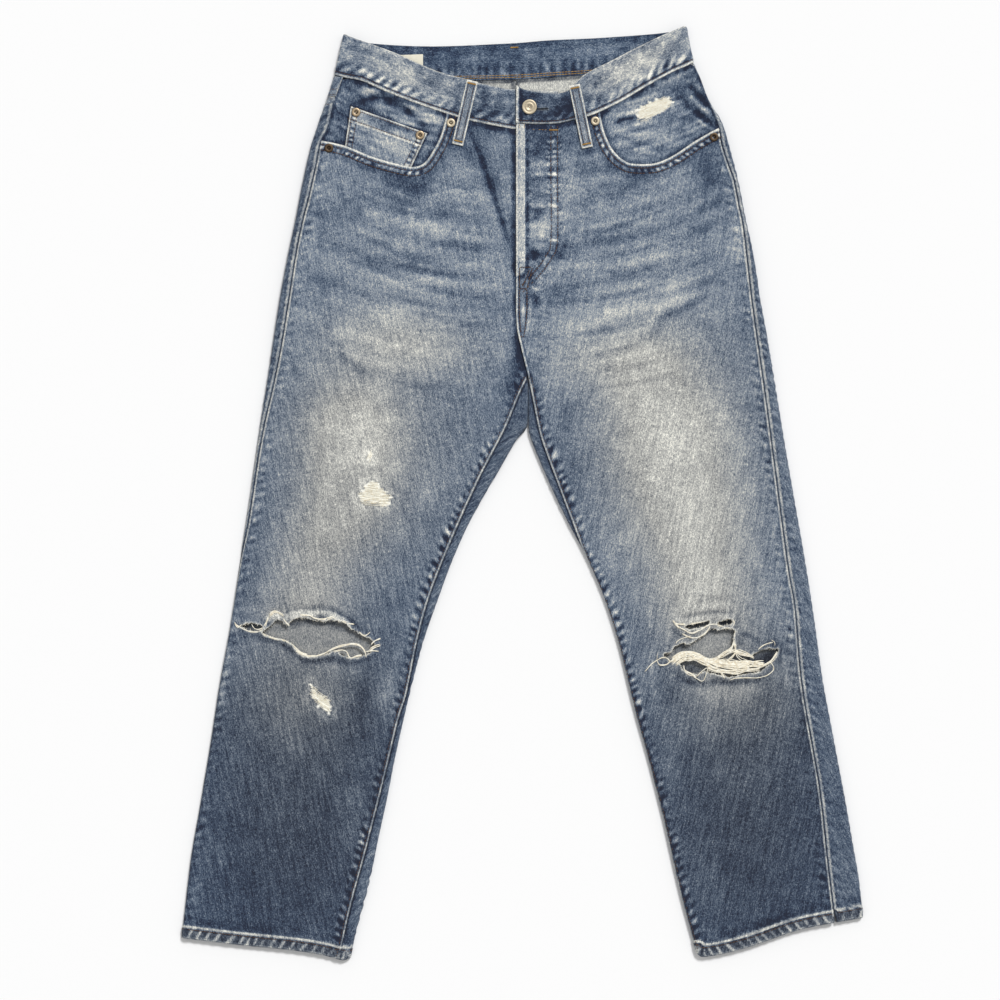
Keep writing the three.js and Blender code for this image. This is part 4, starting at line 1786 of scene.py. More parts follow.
class FrontPanel:
    """A front panel with its pocket opening, ripped knee, fades, whiskers, painted shade and seams."""

    def __init__(self, side: Side) -> None:
        """Cuts the panel and marks it.

        Args:
            side: The wearer's side.
        """
        self.side = side
        s = side.value
        self.outseam = smooth(mirrored(OUTSEAM[side], side))
        self.inseam = smooth(mirrored(INSEAM[side], side))
        self.opening = smooth(mirrored(OPENING[side], side))
        self.centre = smooth([(x + s * SEAM_GAP / 2, y) for x, y in CENTRE_FRONT])
        self.waist = smooth(mirrored(WAIST_FRONT[side], side))
        top_y = self.waist[0, 1]
        inner_x = self.opening[-1, 0]
        outward = self.waist[:, 0] * s
        waist = outwards(self.waist[(outward > FLY_EDGE * s) & (outward < abs(inner_x))], side)
        centre = between(self.centre, CROTCH + 0.5, top_y - 0.5)
        hem = self._hem()
        outer = between(self.outseam, hem[-1, 1] + 0.8, self.opening[0, 1] - 0.5)[::-1]
        inseam = between(self.inseam, hem[0, 1] + 0.8, CROTCH)
        self.hem = hem
        self.rips = self._rips()
        outline = join(centre, inseam, hem, outer, self.opening, waist[::-1])
        wrap = Wrap(side, True)
        self.cut = Cut(
            name=f"front_{side.word}_denim", node=f"front_{side.word}", slot="denim_front",
            outline=outline, place=wrap, holes=self.rips, tone=0.50, grey=0.12, crush=0.75,
            lean=-s * GRAIN_LEAN, guides=self._guides(), rests_on=f"back_{side.word}_denim",
            rows=self._rows(), coarse=3.1,
        )
        self.cut.marks = self._marks()

    def _hem(self) -> Array:
        """The hem's edge from inseam to outseam.

        Returns:
            Its points.
        """
        s = self.side.value
        line = outwards(smooth(mirrored(HEM[self.side], self.side)), self.side)
        first, last = self.inseam[-1, 0] * s, self.outseam[-1, 0] * s
        return line[(line[:, 0] * s >= first) & (line[:, 0] * s <= last)]

    def _rips(self) -> list[Array]:
        """The holes worn through at the knee, with their ragged edges.

        Returns:
            The holes' outlines.
        """
        made = []
        for k, loop in enumerate(RIPS[self.side]):
            ring = smooth(loop, 1.2, closed=True)
            run = np.arange(len(ring)) * 1.2
            ragged = 0.9 * wander(run, 2.2, 31 + k) + 0.8 * wander(run, 7, 57 + k)
            made.append(offset(ring, 0.5) + ragged[:, None] * (0.25, 1.0))
        return made

    def _rows(self) -> list[Array]:
        """Lines that the mesh follows, for crisp sewing.

        Returns:
            The lines, in plan.
        """
        rows = [self.hem + (0, up) for up in (HEM_ROW, 11.3, 12.4, 13.6, 14.8)]
        rows += [offset(self.opening, self.side.value * gap) for gap in (1.6, 2.6, 3.8, 4.8, 9.8)]
        if self.side is Side.LEFT:
            rows += [evenly([(x, 395.0), (x, 243.0)], 1.6) for x in (1.0, 2.2, 3.6, 5.0)]
        return rows

    def _guides(self) -> list[Array]:
        """Lines along which the panel carries fine detail.

        Returns:
            The lines, in plan.
        """
        spots = [smooth(loop, 4, closed=True) for loop in worn_spots(self.side, True)]
        curves = (FLY_CURVE_INNER, FLY_CURVE_OUTER) if self.side is Side.LEFT else ()
        return [*[smooth(curve, 4) for curve in curves], *spots]

    def _marks(self) -> list[Mark]:
        """Everything that marks the panel.

        Returns:
            The marks, in order.
        """
        side = self.side
        s = side.value
        opening = self.opening[::2]
        return [
            Cloud((85, 110), 0.7, 0.012, 3 + s), Cloud((26, 38), 0.22, 0.018, 9 + s),
            Fade(s * 110, 250, 150, 170, 0.0, crush=0.5),
            *[Fan(0, 700, 455, 130, s * 15, 13, size, tone, 3 * tone, seed + s)
              for size, tone, seed in HIP_STREAKS],
            Fade(s * 235, -320, 110, 170, 0.0, grey=0.42), Fade(s * 160, 50, 100, 135, 0.0, grey=0.38),
            Fade(s * 232, -210, 80, 60, 0.025, grey=0.45), Fade(s * 180, 60, 200, 60, 0.0, crush=0.3),
            *FADES_AND_SHADE[side],
            *WHISKERS_AND_FOLD_SHADE[side],
            Seam(self.outseam[::3], edge=0.82, rise=0.35, width=10, pitch=11, contrast=0.12, pucker=0.3,
                 start=3.5, stop=12, seed=21 + s, edge_width=0.8, edge_at=1.1),
            Seam(self.inseam[::3], edge=0.82, rise=0.5, width=7, pitch=10, contrast=0.26, pucker=0.4,
                 start=3.5, stop=11, shade=-0.08, seed=31 + s, edge_width=0.8, edge_at=1.2),
            HemWork(self.hem[::3], seed=41 + s),
            # Painted shade below the pocket opening.
            Strip(opening, 10.2, 15.5, tone=-0.12, soft=2.6, seed=49, rough=0.5),
            Seam(opening, rise=0.7, width=10.5, rows=POCKET_ROWS, pitch=6.6, contrast=0.34, pucker=0.45,
                 start=5.4, stop=9.6, lean=0.5, shade=-0.06, seed=51 + s),
            # Painted shade in the two stitch grooves below the pocket's edge.
            Strip(opening, 3.6, 5.0, rise=-0.3, tone=-0.20, soft=0.5, seed=53),
            Strip(opening, 9.2, 10.6, rise=-0.2, tone=-0.18, soft=0.5, seed=54),
            Strip(opening, 0, 2.3, rise=0.5, toward=0.84, strength=0.95, soft=0.6, rough=0.16, seed=55),
            Seam(opening, rise=0, width=1, pitch=2.7, contrast=0.05, pucker=0.12, start=0.5, stop=1.8,
                 lean=0.9, seed=57, roll=0.8),
            # Painted shadow under the waistband's edge.
            Strip(self.waist[::3], 0, 5.0, rise=-0.5, tone=-0.26, soft=2.4, seed=61, rough=0.6),
            *[Bare(smooth(loop, 1.5, closed=True)) for loop in worn_spots(side, True)],
            *FLY[side],
            *RIP_MARKS[side],
            *[Torn(rip, seed=71 + k, tone=0.80, width=1.3) for k, rip in enumerate(self.rips)],
        ]


class BackPanel:
    """A back panel, which folds round both edges of its leg."""

    def __init__(self, side: Side) -> None:
        """Cuts the panel and marks it.

        Args:
            side: The wearer's side.
        """
        self.side = side
        s = side.value
        wrap = Wrap(side, False)
        seam_y = across([(x * s, y) for x, y in YOKE_SEAM[side]], np.array([0.0]))[0]
        centre = smooth([(x + s * SEAM_GAP / 2, y) for x, y in CENTRE_BACK])
        centre = between(centre, CROTCH + 0.5, seam_y - 0.5)
        rows_in = np.arange(CROTCH - 0.5, -470.0, -3.0)
        rows_out = np.arange(-445.0 if side is Side.LEFT else -470.0, 426.0, 3.0)
        inner = wrap.reach([(q - SEAM_GAP, y) for q, y in INSEAM[side]], rows_in, False)
        outer = wrap.reach([(q + SEAM_GAP, y) for q, y in OUTSEAM[side]], rows_out, True)
        hem = self._hem(wrap, mirrored(HEM[side], side), inner[-1], outer[0])
        yoke = outwards(smooth(mirrored(YOKE_SEAM[side], side)) - (0, SEAM_GAP / 2), side)[::-1]
        yoke = yoke[(yoke[:, 0] * s > centre[0, 0] * s) & (yoke[:, 0] * s < abs(outer[-1, 0]))]
        outer = outer[outer[:, 1] < yoke[0, 1] - 1]
        outline = join(centre, inner, hem, outer, yoke)
        self.inner, self.outer, self.yoke, self.centre, self.hem = inner, outer, yoke, centre, hem
        self.cut = Cut(
            name=f"back_{side.word}_denim", node=f"back_{side.word}", slot="denim_back",
            outline=outline, place=wrap, tone=0.36, grey=0.25, inner_tone=0.575, inner_grey=0.95,
            lean=-s * GRAIN_LEAN, coarse=4.2, fine=2.2, band=12, inner_marks=BEHIND_RIPS[side],
        )
        self.cut.marks = self._marks()

    @staticmethod
    def _hem(wrap: Wrap, line: Array, first: Array, last: Array) -> Array:
        """The hem in the panel's own coordinates, round both folds.

        Args:
            wrap: Lays the panel in space.
            line: The hem in plan.
            first: Where it starts.
            last: Where it ends.

        Returns:
            Its points between those two.
        """
        x = np.linspace(first[0], last[0], 140)[1:-1]
        guess = np.column_stack([x, np.full(len(x), -480.0)])
        for _ in range(3):
            plan = wrap(guess)[0]
            guess[:, 1] = across(line, plan[:, 0])
        return guess

    def _marks(self) -> list[Mark]:
        """Everything that marks the panel.

        Returns:
            The marks, in order.
        """
        s = self.side.value
        felled = Seam(self.centre[::3], edge=0.6, rise=-0.1, width=9, rows=FELL_ROWS, pitch=9, contrast=0.1,
                      pucker=0.25, start=2, stop=9, seed=63 + s)
        return [
            Cloud((70, 90), -0.3, 0.02, 13 + s), Cloud((24, 36), 0.1, 0.02, 19 + s),
            *BACK_FADES[self.side],
            Seam(self.outer[::2], edge=0.80, rise=0.5, width=8, pitch=11, contrast=0.09, pucker=0.3,
                 start=4, stop=12, seed=23 + s, roll=0.5, edge_at=2.2, edge_width=0.9),
            Seam(self.inner[::2], rise=0.1, width=5, pitch=10, contrast=0.06, pucker=0.25, start=3,
                 stop=11, seed=33 + s, shade=-0.04),
            # Painted shade: a dark line where the panel meets the front at the inseam.
            Strip(self.inner[::2], 0, 1.3, tone=-0.16, soft=0.6),
            HemWork(self.hem[::3], seed=43 + s),
            replace(felled, points=self.yoke[::3], edge=0.62, shade=0.02, seed=53 + s),
            felled,
        ]


class Yoke:
    """A yoke: the wedge between a back panel and the waistband."""

    def __init__(self, side: Side) -> None:
        """Cuts the yoke and marks it.

        Args:
            side: The wearer's side.
        """
        self.side = side
        s = side.value
        wrap = Wrap(side, False)
        _, _, fold_x, fold_y = CORNER_LEFT if side is Side.LEFT else CORNER_RIGHT
        waist = outwards(smooth(WAIST_BACK), side)
        centre_x = CENTRE_BACK[0][0] + s * SEAM_GAP / 2
        waist = waist[(waist[:, 0] * s > centre_x * s) & (waist[:, 0] * s < abs(fold_x) - 4)]
        seam = outwards(smooth(mirrored(YOKE_SEAM[side], side)) + (0, SEAM_GAP / 2), side)
        rows = np.arange(seam[-1, 1] + 1.0, fold_y - 0.4, 2.0)
        outer = wrap.reach([(q + SEAM_GAP, y) for q, y in OUTSEAM[side]], rows, True)
        seam = seam[(seam[:, 0] * s > centre_x * s) & (np.abs(seam[:, 0]) < abs(outer[0, 0]))]
        corner = evenly([outer[-1], waist[-1]], 2.0)[1:]
        outline = join(seam, outer, corner, waist[::-1])
        self.seam = seam
        self.cut = Cut(
            name=f"yoke_{side.word}_denim", node=f"yoke_{side.word}", slot="denim_back",
            outline=outline, place=wrap, tone=0.44, grey=0.2, inner_tone=0.75, inner_grey=1.0,
            coarse=3.0, fine=1.8, band=10, lean=-4 * s,
            # The inner face's dark strip along the waist is painted shadow under the waistband.
            inner_marks=[Strip(waist[::3], 0, 3.6, tone=-0.34, soft=1.0), Fade(30, 434, 60, 6, 0.04)],
        )
        self.cut.marks = [
            Cloud((30, 40), 0.15, 0.03, 27 + s),
            Seam(outer[::2], edge=0.8, rise=0.4, width=8, pitch=9, contrast=0.08, pucker=0.3, seed=25),
            Seam(seam[::3], edge=0.66, rise=0.1, width=9, rows=FELL_ROWS, pitch=9, contrast=0.1,
                 pucker=0.25, start=2, stop=9, seed=55 + s),
            Strip(waist[::3], 0, 3, rise=-0.3, tone=-0.15, soft=1.4),
        ]


@dataclass(frozen=True)
class Ribbon:
    """Lays a long strip along given stations.

    Attributes:
        top: The strip's upper edge at each station.
        bottom: Its lower edge.
        out: Its outward direction.
        run: Distance of each station along the strip.
        height: The strip's width.
    """

    top: Array
    bottom: Array
    out: Array
    run: Array
    height: float

    @staticmethod
    def through(tops: Array, bottoms: Array, outs: Array, height: float) -> "Ribbon":
        """Draws a smooth strip through stations.

        Args:
            tops: Its upper edge at each station.
            bottoms: Its lower edge.
            outs: Its outward direction.
            height: Its width.

        Returns:
            The strip.
        """
        both = np.hstack([tops, bottoms, outs])
        t = np.linspace(0, 1, 8, endpoint=False)[:, None]
        p = np.vstack([both[:1], both, both[-1:]])
        spans = [
            0.5 * (2 * b + (c - a) * t + (2 * a - 5 * b + 4 * c - d) * t**2
                   + (3 * b - a - 3 * c + d) * t**3)
            for a, b, c, d in zip(p[:-3], p[1:-2], p[2:-1], p[3:])
        ]
        fine = np.vstack(spans + [both[-1:]])
        middle = (fine[:, :3] + fine[:, 3:6]) / 2
        run = np.r_[0, np.cumsum(np.linalg.norm(np.diff(middle, axis=0), axis=1))]
        out = fine[:, 6:] / np.linalg.norm(fine[:, 6:], axis=1, keepdims=True)
        return Ribbon(fine[:, :3], fine[:, 3:6], out, run, height)

    def __call__(self, at: Array) -> tuple[Array, Array]:
        """Places strip coordinates in space.

        Args:
            at: Distances along the strip and up it.

        Returns:
            The places and the outward normals.
        """
        pick = [np.column_stack([np.interp(at[:, 0], self.run, part[:, k]) for k in range(3)])
                for part in (self.top, self.bottom, self.out)]
        share = (at[:, 1] / self.height)[:, None]
        normal = pick[2] / np.linalg.norm(pick[2], axis=1, keepdims=True)
        return pick[1] + (pick[0] - pick[1]) * share, normal

    def along(self, x: float, y: float, high: bool) -> float:
        """Finds a place along the strip.

        Args:
            x: A plan point's X.
            y: Its Y.
            high: Whether the place wanted is on the strip's front run, and not on its back one.

        Returns:
            The distance along the strip of the station nearest that point.
        """
        middle = (self.top + self.bottom) / 2
        gap = np.hypot(middle[:, 0] - x, middle[:, 1] - y)
        level_ = middle[:, 2] > (BAND_LOW + BAND_HIGH) / 2
        gap[level_ != high] = np.inf
        return float(self.run[int(np.argmin(gap))])


class Waistband:
    """The waistband: a double strip folded at both sides, its left end lapped over its right."""

    def __init__(self) -> None:
        """Cuts the band and marks it."""
        self.ribbon = self._ribbon()
        length = float(self.ribbon.run[-1])
        lower, upper = [(0, 0), (length, 0)], [(length, BAND_HEIGHT), (0, BAND_HEIGHT)]
        outline = polygon([*lower, *upper], 1.8)
        button = length - 14.5
        middle = 18.0
        slit = smooth([(button + 6, middle), (button + 4, middle + 2.6), (button, middle + 3.0),
                       (button - 5, middle + 1.6), (button - 12, middle + 1.2),
                       (button - 19, middle + 1.6), (button - 20, middle + 0.4),
                       (button - 12, middle - 0.4), (button - 5, middle - 1.6),
                       (button, middle - 2.6), (button + 4, middle - 2.4)], 1.0, closed=True)
        self.length = length
        lower, upper = evenly(lower, 8), evenly(upper[::-1], 8)
        end = np.array([(length, 0.0), (length, BAND_HEIGHT)])
        self.cut = BandCut(
            name="waistband_denim", node="waistband", slot="denim_waistband", outline=outline,
            place=self.ribbon, holes=[slit], tone=0.52, grey=0.15, thick=BAND_CLOTH, lean=90,
            coarse=1.9, fine=1.5, band=10, both_out=True, inner_tone=0.36, inner_grey=0.0, crush=1.4,
            # Painted shadow on the band's inside, beside the label.
            inner_marks=[Fade(self.ribbon.along(-97, 460, False), 24, 6, 16, -0.14)],
            rests_on="yoke_right_denim",
        )
        self.cut.marks = [
            Cloud((34, 12), 0.35, 0.09, 71), Cloud((13, 5), 0.2, 0.12, 72), Cloud((6, 3), 0.1, 0.07, 73),
            Seam(lower, edge=0.90, edge_width=1.2, rise=0.25, width=13, rows=(BAND_ROW,), pitch=12,
                 contrast=0.29, pucker=0.5, start=4.5, stop=14, lean=0.9, seed=84, roll=0.5, edge_at=1.2),
            # Painted shade in the stitch groove.
            Strip(lower, 3.0, 4.6, tone=-0.30, soft=0.6, rough=0.5),
            Seam(upper, edge=0.80, rise=0.0, width=4, pitch=16, contrast=0.035, pucker=0.2, start=2,
                 stop=11, lean=-0.5, seed=83, roll=0.5),
            *band_wear_and_shade(self.ribbon),
            Strip(end, 3.8, 7.0, rise=-0.2, tone=-0.22, soft=1.0, seed=88),
            Strip(end, 0, 2.9, rise=0.4, toward=0.90, strength=0.97, soft=0.7, seed=87),
            Torn(slit, curl=0.3, tone=0.34, width=1.2, seed=91),
        ]

    @staticmethod
    def _ribbon() -> Ribbon:
        """Lays out the band's stations, round both side folds.

        Returns:
            The strip through them.
        """
        tops, bottoms, outs = [], [], []

        def flat(rows: Sequence[Point], z: float, up: float) -> None:
            """Adds level stations.

            Args:
                rows: The stations.
                z: Their height.
                up: +1 where the outside looks up.
            """
            for tx, ty, bx, by in rows:
                tops.append((tx, ty, z))
                bottoms.append((bx, by, z))
                outs.append((0.0, 0.0, up))

        def fold(corner: Point, sign: float, angles: Sequence[float]) -> None:
            """Adds the stations of a side fold.

            Args:
                corner: The fold's station.
                sign: Which side it is on.
                angles: Where round the fold, in degrees.
            """
            tx, ty, bx, by = corner
            radius = (BAND_HIGH - BAND_LOW) / 2
            for degrees in angles:
                a = math.radians(degrees)
                inward = sign * radius * (math.cos(a) - 1)
                z = BAND_LOW + radius + radius * math.sin(a)
                tops.append((tx + inward, ty, z))
                bottoms.append((bx + inward, by, z))
                outs.append((sign * math.cos(a), 0.0, math.sin(a)))

        drop = BAND_CLOTH + SEAM_GAP
        flat(BAND_UNDER, BAND_HIGH - drop, 1)
        flat(BAND_RIGHT, BAND_HIGH, 1)
        fold(CORNER_RIGHT, -1, (60, 30, 0, -30, -60))
        flat(BAND_BACK, BAND_LOW, -1)
        fold(CORNER_LEFT, 1, (-60, -30, 0, 30, 60))
        flat(BAND_LEFT, BAND_HIGH, 1)
        return Ribbon.through(np.array(tops), np.array(bottoms), np.array(outs), BAND_HEIGHT)


@dataclass
class BandCut(Cut):
    """The waistband's cut, whose inner face is the cloth's outside too."""

    def inner_side(self, at: Array) -> Relief:
        """What the inside of the band carries: less wear, with puckers over its lower seam.

        Args:
            at: The band's own coordinates.

        Returns:
            What it carries there.
        """
        on = super().inner_side(at)
        wave = np.sin(2 * math.pi * (at[:, 0] / 11 + 0.9 * wander(at[:, 0], 26, 5)))
        window = bump(at[:, 1] - 10, 6.5) * (1 + 0.5 * wander(at[:, 0], 19, 6))
        on.tone += 0.15 * wave * window - 0.03 + 0.06 * cloudy(at, (26, 12), 8)
        on.tone += 0.09 * cloudy(at, (9, 6), 12) + 0.10 * window * cloudy(at, (4, 9), 14)
        on.tone += 0.06 * bump(at[:, 1] - 22, 6) - 0.05 * step_up(at[:, 1], 30, 38)
        return on


class Facing:
    """The denim seen inside a scooped pocket opening."""

    LAP = 9.0
    WIDEST = 178

    def __init__(self, side: Side) -> None:
        """Cuts the facing and marks it.

        Args:
            side: The wearer's side.
        """
        self.side = side
        s = side.value
        opening = smooth(mirrored(OPENING[side], side), 2)
        under = offset(opening, self.LAP * s)
        waist = smooth(mirrored(WAIST_FRONT[side], side), 2)
        waist = waist[(waist[:, 0] * s > under[-1, 0] * s) & (waist[:, 0] * s < self.WIDEST)]
        waist = outwards(waist, side)[::-1] + (0, 2.5)
        rows = np.arange(float(under[0, 1]) + 2, float(waist[0, 1]) - 1, 2.5)
        edge = np.column_stack([(level(OUTSEAM[side], rows) + 0.8) * s, rows])
        outline = join(under[::-1], edge, waist)
        self.opening, self.edge, self.waist = opening, edge, waist
        self.cut = Cut(
            name=f"pocket_facing_{side.word}_denim", node=f"pocket_facing_{side.word}",
            slot="denim_facing", outline=outline, place=self._place, tone=0.48, grey=0.12, thick=1.0,
            coarse=1.9, fine=1.5, band=8, lean=-s * GRAIN_LEAN, rests_on=f"back_{side.word}_denim",
        )
        depth = 0.21 if side is Side.RIGHT else 0.15
        swirl = Fan(s * 150 - s * 103, 682, 300, 60, s * 20, 20, (26, 3.4), depth, 0.3, 92 + s)
        self.cut.marks = [
            Cloud((34, 24), 0.3, 0.08, 91 + s), Cloud((15, 8), 0.2, 0.08, 93 + s), swirl,
            replace(swirl, size=(13, 2.2), tone=0.6 * depth, rise=0.15, seed=98 + s),
            *FACING_MARKS[side],
            # Painted shadow under the front's rolled pocket edge.
            Strip(opening, 0, 3.6, tone=-0.20, soft=2.4, seed=95),
            *[Bare(smooth(loop, 1.5, closed=True)) for loop in worn_spots(side, False)],
            # Painted shadow under the waistband.
            Strip(waist, 0, 6.0, tone=-0.27, soft=2.4, seed=97, rough=0.7),
            # Painted shade along the side seam.
            Strip(edge, 0, 3.0, tone=-0.22, soft=1.5, seed=99),
        ]

    def _place(self, at: Array) -> tuple[Array, Array]:
        """Lays the facing under the front, rising to the seams at its waist and side."""
        close = np.minimum(nearest(at, (self.waist, self.edge), FACING_SLOPE), FACING_SLOPE)
        return lying(at, FACING_LOW + FACING_RISE * (1 - step_up(close, 1, 16)))


class CoinPocket:
    """The small patch on the right facing."""

    def __init__(self, facing: Facing) -> None:
        """Cuts the patch and marks it.

        Args:
            facing: The facing that it is sewn on.
        """
        self.facing = facing
        corners = np.array(COIN_POCKET, float)
        self.corners = corners
        top, right, left = (evenly(corners[pair], 6) for pair in ([0, 1], [1, 2], [3, 0]))
        second = evenly(corners[:2] + (-1.5, -15.2), 6)
        self.cut = Cut(
            name="coin_pocket_denim", node="coin_pocket", slot="denim_facing",
            outline=polygon(corners, 1.6), place=self._place, tone=0.55, grey=0.15, thick=0.9, coarse=1.8,
            fine=1.3, band=8, lean=GRAIN_LEAN, rests_on="pocket_facing_right_denim",
        )
        self.cut.marks = [
            Cloud((24, 18), 0.25, 0.05, 101), Cloud((9, 8), 0.12, 0.06, 102),
            Fade(-140, 372, 24, 9, 0.12, lean=-15), Fade(-166, 372, 9, 16, -0.08),
            Fade(-135, 396, 24, 5, -0.10, lean=-18), Fade(-168, 407, 8, 5, 0.1),
            Fan(-37, 682, 300, 60, -20, 20, (16, 3.0), 0.18, 0.2, 104),
            Seam(top, edge=0.90, edge_width=1.5, rise=0.5, width=14, rows=COIN_TOP_ROWS, pitch=8,
                 contrast=0.06, pucker=0.15, start=3, stop=10, shade=-0.01, seed=103),
            Strip(second, 0, 1.3, rise=0.2, toward=0.86, strength=0.95, soft=0.5),
            # Painted shade under the second pale fold line.
            Strip(second, 1.5, 2.6, rise=-0.2, tone=-0.16, soft=0.6),
            *[Seam(line, edge=0.90, edge_width=1.5, rise=0.4, width=8, rows=COIN_SIDE_ROWS, pitch=5.6,
                   contrast=contrast, pucker=0.25, start=3.4, stop=stop, lean=0.1, seed=seed, shade=shade)
              for line, contrast, stop, seed, shade in ((left, 0.60, 7.6, 118, -0.12),
                                                        (right, 0.42, 7.2, 107, -0.07))],
        ]

    def _place(self, at: Array) -> tuple[Array, Array]:
        """Lays the patch on the facing."""
        return self.facing.cut.surface(at, 1.15)


class PatchPocket:
    """A plain patch pocket on the seat."""

    def __init__(self, side: Side) -> None:
        """Cuts the pocket and marks it.

        Args:
            side: The wearer's side.
        """
        corners = np.array(PATCH_POCKET, float) + PATCH_PLACE[side]
        self.rim = evenly(ring_of(corners)[1:], 2.5)
        self.top = evenly(corners[:2], 2.5)
        self.cut = Cut(
            name=f"patch_pocket_{side.word}_denim", node=f"patch_pocket_{side.word}", slot="denim_back",
            outline=polygon(corners, 2.4), place=partial(lying, height=UNDERSIDE, up=-1.0), tone=0.42,
            thick=1.1, coarse=3.4, fine=1.9, band=10,
        )
        self.cut.marks = [
            Cloud((40, 34), 0.0, 0.035, 111), Cloud((15, 20), 0.0, 0.025, 112),
            Seam(self.rim[::2], edge=0.72, rise=0, width=8, rows=(2.0, 7.8), pitch=9, contrast=0.1,
                 pucker=0, start=2, stop=8, seed=113, roll=0.3),
            Seam(self.top[::2], edge=0.78, rise=0, width=12, rows=(2.0, 11.5), pitch=8, contrast=0.06,
                 pucker=0, start=3, stop=11, seed=115, roll=0.3),
        ]


class Underlap:
    """The strip behind the lapped fly."""

    def __init__(self) -> None:
        """Cuts the strip."""
        self.cut = Cut(
            name="fly_underlap_denim", node="fly_underlap", slot="denim_back",
            outline=polygon(UNDERLAP, 3), place=partial(lying, height=UNDERLAP_HEIGHT), tone=0.3, grey=0.1,
            coarse=4, fine=3, band=4, thick=1.0, rests_on="back_right_denim",
        )


class BeltLoop:
    """A belt loop, folded to a narrow strip and tacked at both ends."""

    WIDTH = 12.0

    def __init__(self, name: str, top: Point, foot: Point, on_front: bool) -> None:
        """Cuts the loop.

        Args:
            name: Which loop.
            top: The middle of its upper end.
            foot: The middle of its lower end.
            on_front: Whether it lies on top, and not underneath.
        """
        self.top, self.foot = np.array(top, float), np.array(foot, float)
        self.length = length = float(np.linalg.norm(self.foot - self.top))
        self.on_front = on_front
        w = self.WIDTH / 2
        sides = [evenly([(x, 0.0), (x, length)], 6) for x in (-w, w)]
        ends = [evenly([(-w, y), (w, y)], 3) for y in (0.0, length)]
        self.cut = Cut(
            name=f"belt_loop_{name}_denim", node=f"belt_loop_{name}", slot="denim_loop",
            outline=polygon([(-w, 0), (w, 0), (w, length), (-w, length)], 1.5), place=self._place,
            tone=0.54, grey=0.3, thick=1.1, coarse=1.5, fine=1.2, band=5, rests_on="waistband_denim",
        )
        worn_edge = partial(Strip, start=0, stop=1.3, rise=-0.1, toward=0.86, strength=0.97, soft=0.5)
        # The grooves' dark tone is painted shade.
        groove = partial(Strip, start=2.2, stop=3.1, rise=-0.25, tone=-0.22, soft=0.5)
        worn_end = partial(Strip, start=0, stop=1.8, toward=0.90, strength=0.95, soft=0.6)
        self.cut.marks = [
            Cloud((9, 14), 0.12, 0.05, 121), Cloud((30, 22), 0.1, 0.03, 123),
            *[worn_edge(line, seed=125) for line in sides],
            *[groove(line, seed=127) for line in sides],
            *[worn_end(line, seed=129) for line in ends],
            Fade(0, length - 5, 5, 3, -0.16), Fade(0, 5.5, 5, 2.5, -0.12),
        ]

    def _place(self, at: Array) -> tuple[Array, Array]:
        """Lays the loop over the band, standing off a little between its tacks.

        Args:
            at: The loop's own coordinates, across it and down it.

        Returns:
            The places and the outward normals.
        """
        ahead = (self.foot - self.top) / self.length
        right = np.array([-ahead[1], ahead[0]])
        plan = self.top + ahead * at[:, 1:2] + right * at[:, 0:1]
        if not self.on_front:
            return lying(plan, UNDERSIDE, -1.0)
        arch = np.sin(np.clip(at[:, 1] / self.length, 0, 1) * math.pi) ** 0.6
        return lying(plan, LOOP_HEIGHT + LOOP_ARCH * arch)


# ---------------------------------------------------------------------------- wear and painted shade, placed one by one

CENTRE_ROWS = (((-3.2, 219), (-3.4, 196), (-2.2, 178), (-0.8, 165)),
               ((4.8, 219), (4.8, 196), (3.2, 178), (0.8, 165)))
CROTCH_BOX = (((-3.0, 242), (10.8, 242)), ((10.8, 242), (4.9, 219)), ((-3.2, 219), (4.8, 219)),
              ((-3.0, 242), (-3.2, 219)), ((0, 221), (7.5, 239)))
FLY_CURVE_INNER = [(30.5, 394), (30.5, 340), (30.5, 271), (25, 254), (13.5, 238), (-3.5, 220)]
FLY_CURVE_OUTER = [(37.5, 394), (37.5, 340), (37.5, 271), (31.5, 252), (18.5, 234), (-0.5, 214.5)]

RIPS = {
    Side.RIGHT: [
        [(-274.5, -146), (-270, -143), (-264, -137.5), (-257.5, -136.5), (-255, -139.5), (-251, -140.5),
         (-247.5, -137.5), (-242.5, -134.5), (-236, -133), (-227.5, -134.5), (-219, -136.5),
         (-210.5, -136.5), (-201.5, -136.5), (-194, -137.5), (-189, -140.5), (-184.5, -145), (-179, -148),
         (-174, -152), (-168.5, -153), (-162, -157), (-159, -162), (-161, -168), (-166, -171),
         (-173, -173.5), (-183, -176.5), (-191, -172.5), (-198, -169), (-204, -169), (-210.5, -171.5),
         (-219, -174), (-227.5, -175), (-235, -173), (-240, -168.5), (-244.5, -163), (-249, -159),
         (-255, -157), (-264, -155.5), (-272.5, -152.5), (-278, -149.5)],
        [(-301, -142), (-296, -140.5), (-289.5, -139.5), (-283, -140.5), (-278.5, -142),
         (-279, -146), (-285, -146.5), (-293.5, -145.5)],
    ],
    Side.LEFT: [
        [(151.5, -173), (159, -170.5), (164, -164.5), (171.5, -160), (179, -162), (186.5, -157),
         (193, -152.5), (199.5, -147), (203, -145), (211.5, -146), (222, -145), (227.5, -147),
         (225, -152.5), (226.5, -159), (227.5, -167), (233, -172), (241, -173.5), (250, -172),
         (256.5, -167.5), (265, -166), (273, -167), (271.5, -173), (266, -180.5), (259.5, -187),
         (254, -190), (238, -193), (227.5, -195), (211.5, -194), (197.5, -191), (186.5, -193),
         (179, -193), (173, -189), (168.5, -183), (160, -180)],
        [(173, -143), (181.5, -140.5), (192, -138.2), (200, -136), (198, -139.8), (188, -143.3), (179, -145)],
        [(209, -139.5), (215.5, -137), (222, -135), (224.5, -138.5), (220, -141), (212.5, -142)],
    ],
}
